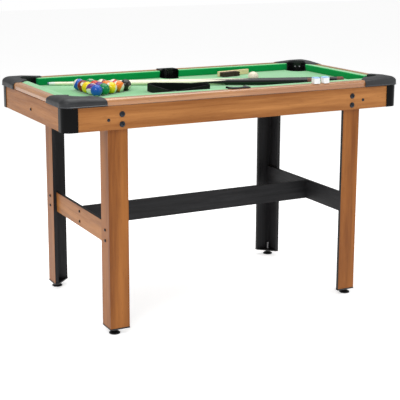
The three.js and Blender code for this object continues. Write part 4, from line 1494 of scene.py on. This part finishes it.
@dataclass
class Hardware:
    """Bolts and screws that hold the frame, the legs and the stretchers."""

    finishes: Finishes
    bolt_radius: float = 8.2 * MM
    bolt_height: float = 4.2 * MM
    bolt_x: float = 418 * MM
    bolt_heights: tuple[float, float] = (701 * MM, 670.5 * MM)
    small_radius: float = 4.4 * MM
    small_x: float = 462 * MM
    small_height: float = 685.5 * MM
    screw_radius: float = 4.6 * MM
    screw_spread: float = 17 * MM
    leg_screw_inset: float = 34 * MM
    small_head: float = 2.6 * MM
    board_setback: float = 1.8 * MM

    def build(self) -> None:
        """Makes each group of fasteners as one piece."""
        low, high = box_of("front_rail")
        face = max(abs(low.y), abs(high.y)) - self.board_setback
        end_low, end_high = box_of("right_rail")
        end_face = max(abs(end_low.x), abs(end_high.x)) - self.board_setback
        bolts = [(sx * self.bolt_x, sy * face, z)
                 for sx in (-1, 1) for sy in (-1, 1) for z in self.bolt_heights]
        self.group("leg_bolts", bolts, self.bolt_radius, self.bolt_height)
        small = [(sx * self.small_x, sy * face, self.small_height) for sx in (-1, 1) for sy in (-1, 1)]
        self.group("bracket_screws", small, self.small_radius, self.small_head)
        ends = [(sx * end_face, 0.0, self.small_height) for sx in (-1, 1)]
        self.group("end_apron_screws", ends, self.small_radius, self.small_head, True)
        leg_high = box_of("leg_back_right")[1]
        board_low, board_high = box_of("end_stretcher_right")
        middle_height = (board_low.z + board_high.z) / 2
        heights = (middle_height + self.screw_spread, middle_height - self.screw_spread)
        legs = [(sx * leg_high.x, sy * (leg_high.y - self.leg_screw_inset), z)
                for sx in (-1, 1) for sy in (-1, 1) for z in heights]
        self.group("leg_stretcher_screws", legs, self.screw_radius, self.small_head, True)
        middle = [(sx * board_high.x, 0.0, z) for sx in (-1, 1) for z in heights]
        self.group("long_stretcher_screws", middle, self.screw_radius, self.small_head, True)

    def group(
        self, name: str, places: Sequence[tuple], radius: float, height: float, ends: bool = False,
    ) -> None:
        """Makes one piece of several equal heads.

        Args:
            name: The piece's name.
            places: Where each head sits on its board's face.
            radius: The head's radius.
            height: The head's height.
            ends: True where the heads face along X, false where they face along Y.
        """
        heads = []
        for x, y, z in places:
            outward = Vector((math.copysign(1, x), 0, 0)) if ends else Vector((0, math.copysign(1, y), 0))
            turn = outward.to_track_quat("Z", "Y").to_matrix().to_4x4()
            washer = spun([(0, 0), (radius * 1.12, 0), (radius * 1.12, 0.5 * MM), (radius, 0.8 * MM),
                           (0, 0.8 * MM)], 40)
            head = moved(screw_head(radius, height, height * 0.55), Matrix.Translation((0, 0, 0.7 * MM)))
            whole = joined(washer, head)
            heads.append(moved(whole, Matrix.Translation((x, y, z)) @ turn))
        delivered(joined(*heads), name, "table", [self.finishes.black_steel], angle=35.0)


# ---------------------------------------------------------------- equipment


BALL_COLOURS: dict[str, Colour] = {
    "yellow": (0.95, 0.68, 0.004), "blue": (0.010, 0.095, 0.50), "red": (0.62, 0.040, 0.012),
    "purple": (0.13, 0.030, 0.22), "orange": (0.88, 0.21, 0.012), "green": (0.004, 0.24, 0.075),
    "maroon": (0.24, 0.020, 0.010), "black": (0.016, 0.012, 0.009), "white": (0.88, 0.80, 0.62),
}


OUT_OF_VIEW = Vector((-0.15, -0.33, -0.93))
TOWARDS_VIEW = Vector((-0.42, -0.88, 0.2))
SPOT_LIES: dict[int, Vector] = {7: Vector((-0.42, -0.80, 0.42)), 8: Vector((0.45, -0.80, -0.35))}
STRIPE_LIES: dict[int, Vector] = {
    9: Vector((0.9, -0.2, -0.2)), 10: Vector((-0.72, 0.52, 0.46)), 11: Vector((-0.5, 0.4, 0.7)),
    12: Vector((-0.55, -0.45, -0.7)), 13: Vector((-0.8, 0.42, 0.42)), 14: Vector((0.4, 0.5, 0.8)),
    15: Vector((-0.7, 0.2, 0.6)),
}


@dataclass
class Balls:
    """Fifteen numbered balls in their rack and the cue ball."""

    ink: Colour = (0.012, 0.011, 0.010)
    ivory: Colour = (0.88, 0.82, 0.68)
    steps: int = 40
    numeral: float = 8.4 * MM
    sunk: float = 0.25 * MM

    def build(self) -> None:
        """Makes every ball of the frame."""
        ink = Plastic("numeral_ink", self.ink, 0.12, 0.2, 900.0, 0.0, 0.0).build()
        for node in sorted(frame["nodes"]):
            if node.startswith("ball_") and node != "ball_triangle":
                self.ball(node, ink)

    def turn_of(self, number: int) -> Euler:
        """How a ball lies: its stripe's pole on Z and its number spots on X."""
        pole = STRIPE_LIES.get(number, Vector((1.0, 0.2 * math.sin(number), 0.0))).normalized()
        spot = SPOT_LIES.get(number, OUT_OF_VIEW)
        if number in STRIPE_LIES:
            spot = pole.cross(TOWARDS_VIEW)
        across = pole.cross(spot).normalized()
        facing = across.cross(pole) if number > 8 else spot.normalized()
        pole = facing.cross(across)
        return Matrix((facing, across, pole)).transposed().to_euler("XYZ")

    def ball(self, node: str, ink: bpy.types.Material) -> None:
        """One ball: a fine sphere, its painted pattern and its two raised-ink numerals."""
        low, high = box_of(node)
        centre = (low + high) / 2
        radius = (high.x - low.x) / 2
        label = node.split("_")[1]
        number = int(label) if label.isdigit() else 0
        turn = self.turn_of(number)
        made = bmesh.new()
        bmesh.ops.create_icosphere(made, subdivisions=5, radius=radius)
        parts = [made]
        if number:
            parts += [self.figure(str(number), radius, half) for half in (0.0, math.pi)]
        made = joined(*parts)
        moved(made, Matrix.Translation(centre) @ turn.to_matrix().to_4x4())
        resin = BallResin(
            f"resin_{node}", BALL_COLOURS[node.split("_")[-1]], tuple(centre), tuple(turn), radius,
            number > 8, number > 0, self.ivory).build()
        delivered(made, node.replace("ball_", "pool_ball_"), BODY_OF[node], [resin, ink], [node],
                  60.0)

    def figure(self, text: str, radius: float, half_turn: float) -> BMesh:
        """A numeral wrapped on the ball, facing +X or, after a half turn, -X."""
        curve = bpy.data.curves.new("figure", "FONT")
        curve.body = text
        curve.size = self.numeral
        curve.align_x, curve.align_y = "CENTER", "CENTER"
        holder = bpy.data.objects.new("figure", curve)
        bpy.context.scene.collection.objects.link(holder)
        bpy.context.view_layer.update()
        mesh = bpy.data.meshes.new_from_object(holder)
        made = bmesh.new()
        made.from_mesh(mesh)
        bpy.data.objects.remove(holder)
        bpy.data.meshes.remove(mesh)
        bmesh.ops.remove_doubles(made, verts=made.verts, dist=1e-5)
        for axis in ((1, 0, 0), (0, 1, 0)):
            for step in range(-8, 9):
                bmesh.ops.bisect_plane(
                    made, geom=[*made.verts, *made.edges, *made.faces],
                    plane_co=Vector(axis) * step * 0.8 * MM, plane_no=axis)
        bmesh.ops.triangulate(made, faces=made.faces)
        deep = bmesh.ops.extrude_face_region(made, geom=made.faces[:], use_keep_orig=True)
        inner = {item for item in deep["geom"] if isinstance(item, BMVert)}
        for vert in made.verts:
            y, z = vert.co.x, vert.co.y
            reach = radius - self.sunk if vert in inner else radius + 0.03 * MM
            vert.co = Vector((math.sqrt(radius**2 - y**2 - z**2), y, z)).normalized() * reach
        bmesh.ops.recalc_face_normals(made, faces=made.faces)
        dressed(made, 1)
        return moved(made, Matrix.Rotation(half_turn, 4, "Z"))


@dataclass
class Cues:
    """Two cues: leather tip, white ferrule, pale shaft, pointed black butt and a brown sleeve."""

    tip: float = 6 * MM
    ferrule: float = 26 * MM
    shaft_share: float = 0.53
    points_length: float = 120 * MM
    sleeve: float = 24 * MM
    steps: int = 40

    def build(self) -> None:
        """Makes both cues."""
        for node in ("cue_1", "cue_2"):
            self.cue(node)

    def cue(self, node: str) -> None:
        """One cue along its node's axis."""
        first, last = axis_ends(node)
        length = (last - first).length
        direction = (last - first).normalized()
        turn = direction.to_track_quat("X", "Z")
        tip, thick, butt = 4.9 * MM, 5.5 * MM, 12 * MM
        joint = length * self.shaft_share

        def grow(station: float) -> float:
            """The cue's radius at a distance from its tip."""
            return thick + (butt - thick) * (station / length) ** 1.15

        crown = [(tip * math.sin(a), 1.9 * MM * (1 - math.cos(a)))
                 for a in (math.radians(15 * step) for step in range(7))]
        pieces = [
            (0, [(0, 0), *crown[1:], (tip, self.tip), (0, self.tip)]),
            (1, [(0, self.tip), (tip + 0.1 * MM, self.tip), (tip + 0.45 * MM, self.ferrule),
                 (0, self.ferrule)]),
            (2, [(0, self.ferrule), *[(grow(s), s) for s in self.span(self.ferrule, joint, 8)],
                 (0, joint)]),
            (3, [(0, joint), *[(grow(s), s) for s in self.span(joint, length - self.sleeve, 12)],
                 (0, length - self.sleeve)]),
            (4, [(0, length - self.sleeve), *[(grow(s), s) for s in
                                              self.span(length - self.sleeve, length - 4 * MM, 4)],
                 (butt - 1 * MM, length - 1.2 * MM), (butt - 3 * MM, length), (0, length)]),
        ]
        lying = Matrix.Translation(first) @ turn.to_matrix().to_4x4() @ Matrix.Rotation(math.pi / 2, 4, "Y")
        made = joined(*[dressed(spun(profile, self.steps), index) for index, profile in pieces])
        moved(made, lying)
        heading = turn.to_euler("XYZ")
        finishes = [
            Speckled(f"leather_{node}", (0.16, 0.22, 0.30), (0.10, 0.14, 0.20)).build(),
            Plastic(f"ferrule_{node}", (0.86, 0.86, 0.84), 0.22, 0.34, 900.0, 0.02, 0.0).build(),
            CueButt(f"maple_{node}", tuple(first), tuple(heading), length * 2, 0.01).build(),
            CueButt(
                f"butt_{node}", tuple(first), tuple(heading), joint + 6 * MM, self.points_length).build(),
            Speckled(f"rubber_{node}", (0.16, 0.045, 0.022), (0.10, 0.03, 0.016), rough=0.55).build(),
        ]
        delivered(made, node.replace("cue", "pool_cue"), BODY_OF[node], finishes, [node], 45.0)

    @staticmethod
    def span(start: float, end: float, count: int) -> list[float]:
        """Evenly spaced stations from start to end, both included."""
        return [start + (end - start) * step / count for step in range(count + 1)]


@dataclass
class Accessories:
    """The ball triangle, the two chalks and the cloth brush."""

    finishes: Finishes
    triangle_wall: float = 6 * MM
    inner_radius: float = 20.2 * MM
    turn: float = math.radians(-1.5)
    brush_turn: float = math.radians(10.6)
    brush_length: float = 142 * MM
    brush_back: float = 12 * MM
    hair_length: float = 76 * MM
    hair_reach: float = 25 * MM
    tufts: tuple[int, int] = (19, 5)

    def build(self) -> None:
        """Makes each accessory."""
        self.triangle()
        for number in (1, 2):
            self.chalk(number)
        self.brush()

    def triangle(self) -> None:
        """A rounded triangle hoop, its inner edge cut back in a step along the top."""
        low, high = box_of("ball_triangle")
        height = high.z - low.z
        outer = self.inner_radius + self.triangle_wall
        reach = (high.y - low.y - 2 * outer) / (2 * math.sin(math.radians(60)) * math.cos(self.turn))
        right = high.x - outer
        centre = Vector((right - reach * math.cos(self.turn), (low.y + high.y) / 2, low.z))

        def outline(radius: float) -> list[tuple[float, float]]:
            """The hoop's outline at a corner radius."""
            points = []
            for corner in (0, 120, 240):
                middle = (reach * math.cos(math.radians(corner)), reach * math.sin(math.radians(corner)))
                points += arc(middle, radius, corner - 60, corner + 60, 16)
            return points

        ring = prism(outline(outer), 0, height)
        bevel(ring, [e for e in sharp(ring, 50)], 1.4 * MM, 3)
        hole = prism(outline(self.inner_radius), -0.01, height + 0.01)
        flare = prism(outline(self.inner_radius + 2.2 * MM), height - 3.2 * MM, height + 0.01)
        made = carved(ring, hole, flare)
        moved(made, Matrix.Translation(centre) @ Matrix.Rotation(self.turn, 4, "Z"))
        delivered(made, "ball_rack_triangle", BODY_OF["ball_triangle"], [self.finishes.rack],
                  ["ball_triangle"], 38.0, 0.6 * MM)

    def chalk(self, number: int) -> None:
        """A chalk cube: paper wrapper, bare blue top worn to a hollow."""
        node = f"chalk_{number}"
        low, high = box_of(node)
        centre, turn = (low + high) / 2, math.radians((number * 2 - 3) * 4)
        side = high.z - low.z
        half = side / 2
        paper = block((-half, -half, 0), (half, half, side * 0.86))
        softened(paper, 0.7 * MM, 3)
        bare = half - 0.3 * MM
        cube = block((-bare, -bare, side * 0.5), (bare, bare, side))
        softened(cube, 0.9 * MM, 3)
        hollow = bmesh.new()
        bmesh.ops.create_uvsphere(
            hollow, u_segments=32, v_segments=16, radius=side * 0.9,
            matrix=Matrix.Translation((0, 0, side + side * 0.82)))
        made = joined(dressed(carved(cube, hollow), 1), paper)
        moved(made, Matrix.Translation((centre.x, centre.y, low.z)) @ Matrix.Rotation(turn, 4, "Z"))
        finishes = [
            Speckled(
                f"chalk_paper_{number}", (0.88, 0.88, 0.86), (0.78, 0.79, 0.80), 300.0, 0.6, 0.1).build(),
            Speckled(
                f"chalk_{number}", (0.42, 0.62, 0.86), (0.30, 0.50, 0.78), 1200.0, 0.95, 0.6).build(),
        ]
        delivered(made, f"cue_chalk_{number}", BODY_OF[node], finishes, [node], 40.0)

    def brush(self) -> None:
        """A bench brush on its side: shaped wooden back and rows of brown tufts."""
        low, high = box_of("cloth_brush")
        height = high.z - low.z
        length, back = self.brush_length, self.brush_back
        cosine, sine = math.cos(self.brush_turn), math.sin(self.brush_turn)
        origin = Vector((high.x - length / 2 * cosine, high.y - back * cosine - length / 2 * sine, low.z))
        wood = block((-length / 2, 0, 0), (length / 2, back, height))
        bevel(wood, upright(wood, lambda p: True), 3 * MM, 4)
        softened(wood, 1.2 * MM, 3, 40)
        hair = []
        start = -length / 2 + 5 * MM
        rows, levels = self.tufts
        for row in range(rows):
            for level in range(levels):
                x = start + (self.hair_length - 6 * MM) * row / (rows - 1)
                z = 3.2 * MM + (height - 6.4 * MM) * level / (levels - 1)
                seed = row * 7.13 + level * 3.71
                lean_x, lean_z = 1.1 * MM * math.sin(seed), 0.5 * MM * math.sin(seed * 1.7)
                reach = self.hair_reach * (0.96 + 0.04 * math.sin(seed * 2.3))
                hair.append(self.tuft(Vector((x, 0.5 * MM, z)), Vector((x + lean_x, -reach, z + lean_z))))
        made = joined(wood, *hair)
        moved(made, Matrix.Translation(origin) @ Matrix.Rotation(self.brush_turn, 4, "Z"))
        finishes = [
            Turned("brush_beech", Grain.ALONG_X, coat=0.15).build(),
            Speckled("brush_hair", (0.050, 0.022, 0.010), (0.022, 0.010, 0.005), 1800.0, 0.6, 0.5).build(),
        ]
        delivered(
            made, "bench_brush", BODY_OF["cloth_brush"], finishes, ["cloth_brush"], 40.0)

    @staticmethod
    def tuft(root: Vector, end: Vector) -> BMesh:
        """One tuft: a thin cone that spreads to its cut end."""
        made = bmesh.new()
        along = end - root
        turn = along.to_track_quat("Z", "Y").to_matrix().to_4x4()
        bmesh.ops.create_cone(
            made, cap_ends=True, cap_tris=False, segments=7, radius1=1.3 * MM, radius2=2.3 * MM,
            depth=along.length, matrix=Matrix.Translation((root + end) / 2) @ turn)
        return dressed(made, 1)


# ---------------------------------------------------------------- studio


@dataclass
class Studio:
    """Pale floor, soft lights and the camera."""

    eye: tuple[float, float, float] = (-1.6667, -3.2023, 1.2242)
    yaw: float = math.radians(27.489)
    pitch: float = math.radians(11.867)
    roll: float = math.radians(0.2)
    lens: float = 96.11
    shift: float = -0.10
    floor_glow: float = 0.62

    def build(self) -> None:
        """Makes the camera, the backdrop and the lights."""
        self.camera()
        self.floor()
        self.world()
        self.lamp("key", (-2.5, -2.5, 2.9), 2.0, 58.0)
        self.lamp("fill", (2.6, -2.0, 2.0), 2.2, 18.0)
        self.lamp("overhead", (0.2, 0.2, 2.9), 2.6, 50.0)
        bpy.context.scene.view_settings.view_transform = "Standard"

    def camera(self) -> None:
        """The camera at its place."""
        data = bpy.data.cameras.new("camera")
        data.lens, data.shift_y, data.sensor_width = self.lens, self.shift, 36.0
        data.clip_end = 60.0
        camera = bpy.data.objects.new("camera", data)
        bpy.context.scene.collection.objects.link(camera)
        camera.location = self.eye
        aim = Matrix.Rotation(-self.yaw, 4, "Z") @ Matrix.Rotation(math.pi / 2 - self.pitch, 4, "X")
        camera.rotation_euler = (aim @ Matrix.Rotation(self.roll, 4, "Z")).to_euler()
        bpy.context.scene.camera = camera

    def floor(self) -> None:
        """A wide pale floor."""
        made = bmesh.new()
        bmesh.ops.create_grid(made, x_segments=1, y_segments=1, size=14.0)
        floor = as_object(made, "floor")
        bench = Bench("pale_floor")
        pebble = bench.group(GROUPS.pebble, {"Vector": bench.place, "Scale": 60.0})
        tone = bench.graph.mix(pebble.outputs["Mottle"], (0.93, 0.93, 0.93, 1), (0.915, 0.915, 0.915, 1))
        bench.link(tone, "Base Color")
        bench.link(tone, "Emission Color")
        bench.set(Roughness=0.9, Specular_IOR_Level=0.1, Emission_Strength=self.floor_glow)
        floor.data.materials.append(bench.material)

    def world(self) -> None:
        """White surroundings: full white behind the table, softer as a light."""
        world = bpy.data.worlds.new("studio")
        world.use_nodes = True
        graph = Graph(world.node_tree)
        output = world.node_tree.nodes["World Output"]
        shown = graph.node("ShaderNodeBackground", {"Color": (1, 1, 1, 1), "Strength": 1.0})
        light = graph.node("ShaderNodeBackground", {"Color": (1, 1, 1, 1), "Strength": 0.42})
        ray = graph.node("ShaderNodeLightPath").outputs["Is Camera Ray"]
        mixed = graph.node("ShaderNodeMixShader", {0: ray, 1: light.outputs[0], 2: shown.outputs[0]})
        world.node_tree.links.new(mixed.outputs[0], output.inputs["Surface"])
        bpy.context.scene.world = world

    @staticmethod
    def lamp(name: str, place: Sequence[float], size: float, power: float) -> None:
        """A square soft light that looks at the middle of the table."""
        data = bpy.data.lights.new(name, "AREA")
        data.shape, data.size, data.energy = "SQUARE", size, power
        lamp = bpy.data.objects.new(name, data)
        bpy.context.scene.collection.objects.link(lamp)
        lamp.location = place
        lamp.rotation_euler = (Vector((0, 0, 0.6)) - Vector(place)).to_track_quat("-Z", "Y").to_euler()


def main() -> None:
    """Builds the studio and every sub-assembly."""
    logging.basicConfig(level=logging.INFO, format="%(name)s: %(message)s")
    Studio().build()
    finishes = Finishes()
    for assembly in (
        TableFrame(finishes), PlayingBed(finishes), Pockets(finishes), Legs(finishes),
        Stretchers(finishes), Hardware(finishes), Balls(), Cues(), Accessories(finishes),
    ):
        assembly.build()
        log.info("built %s", type(assembly).__name__)


if __name__ == "__main__":
    main()
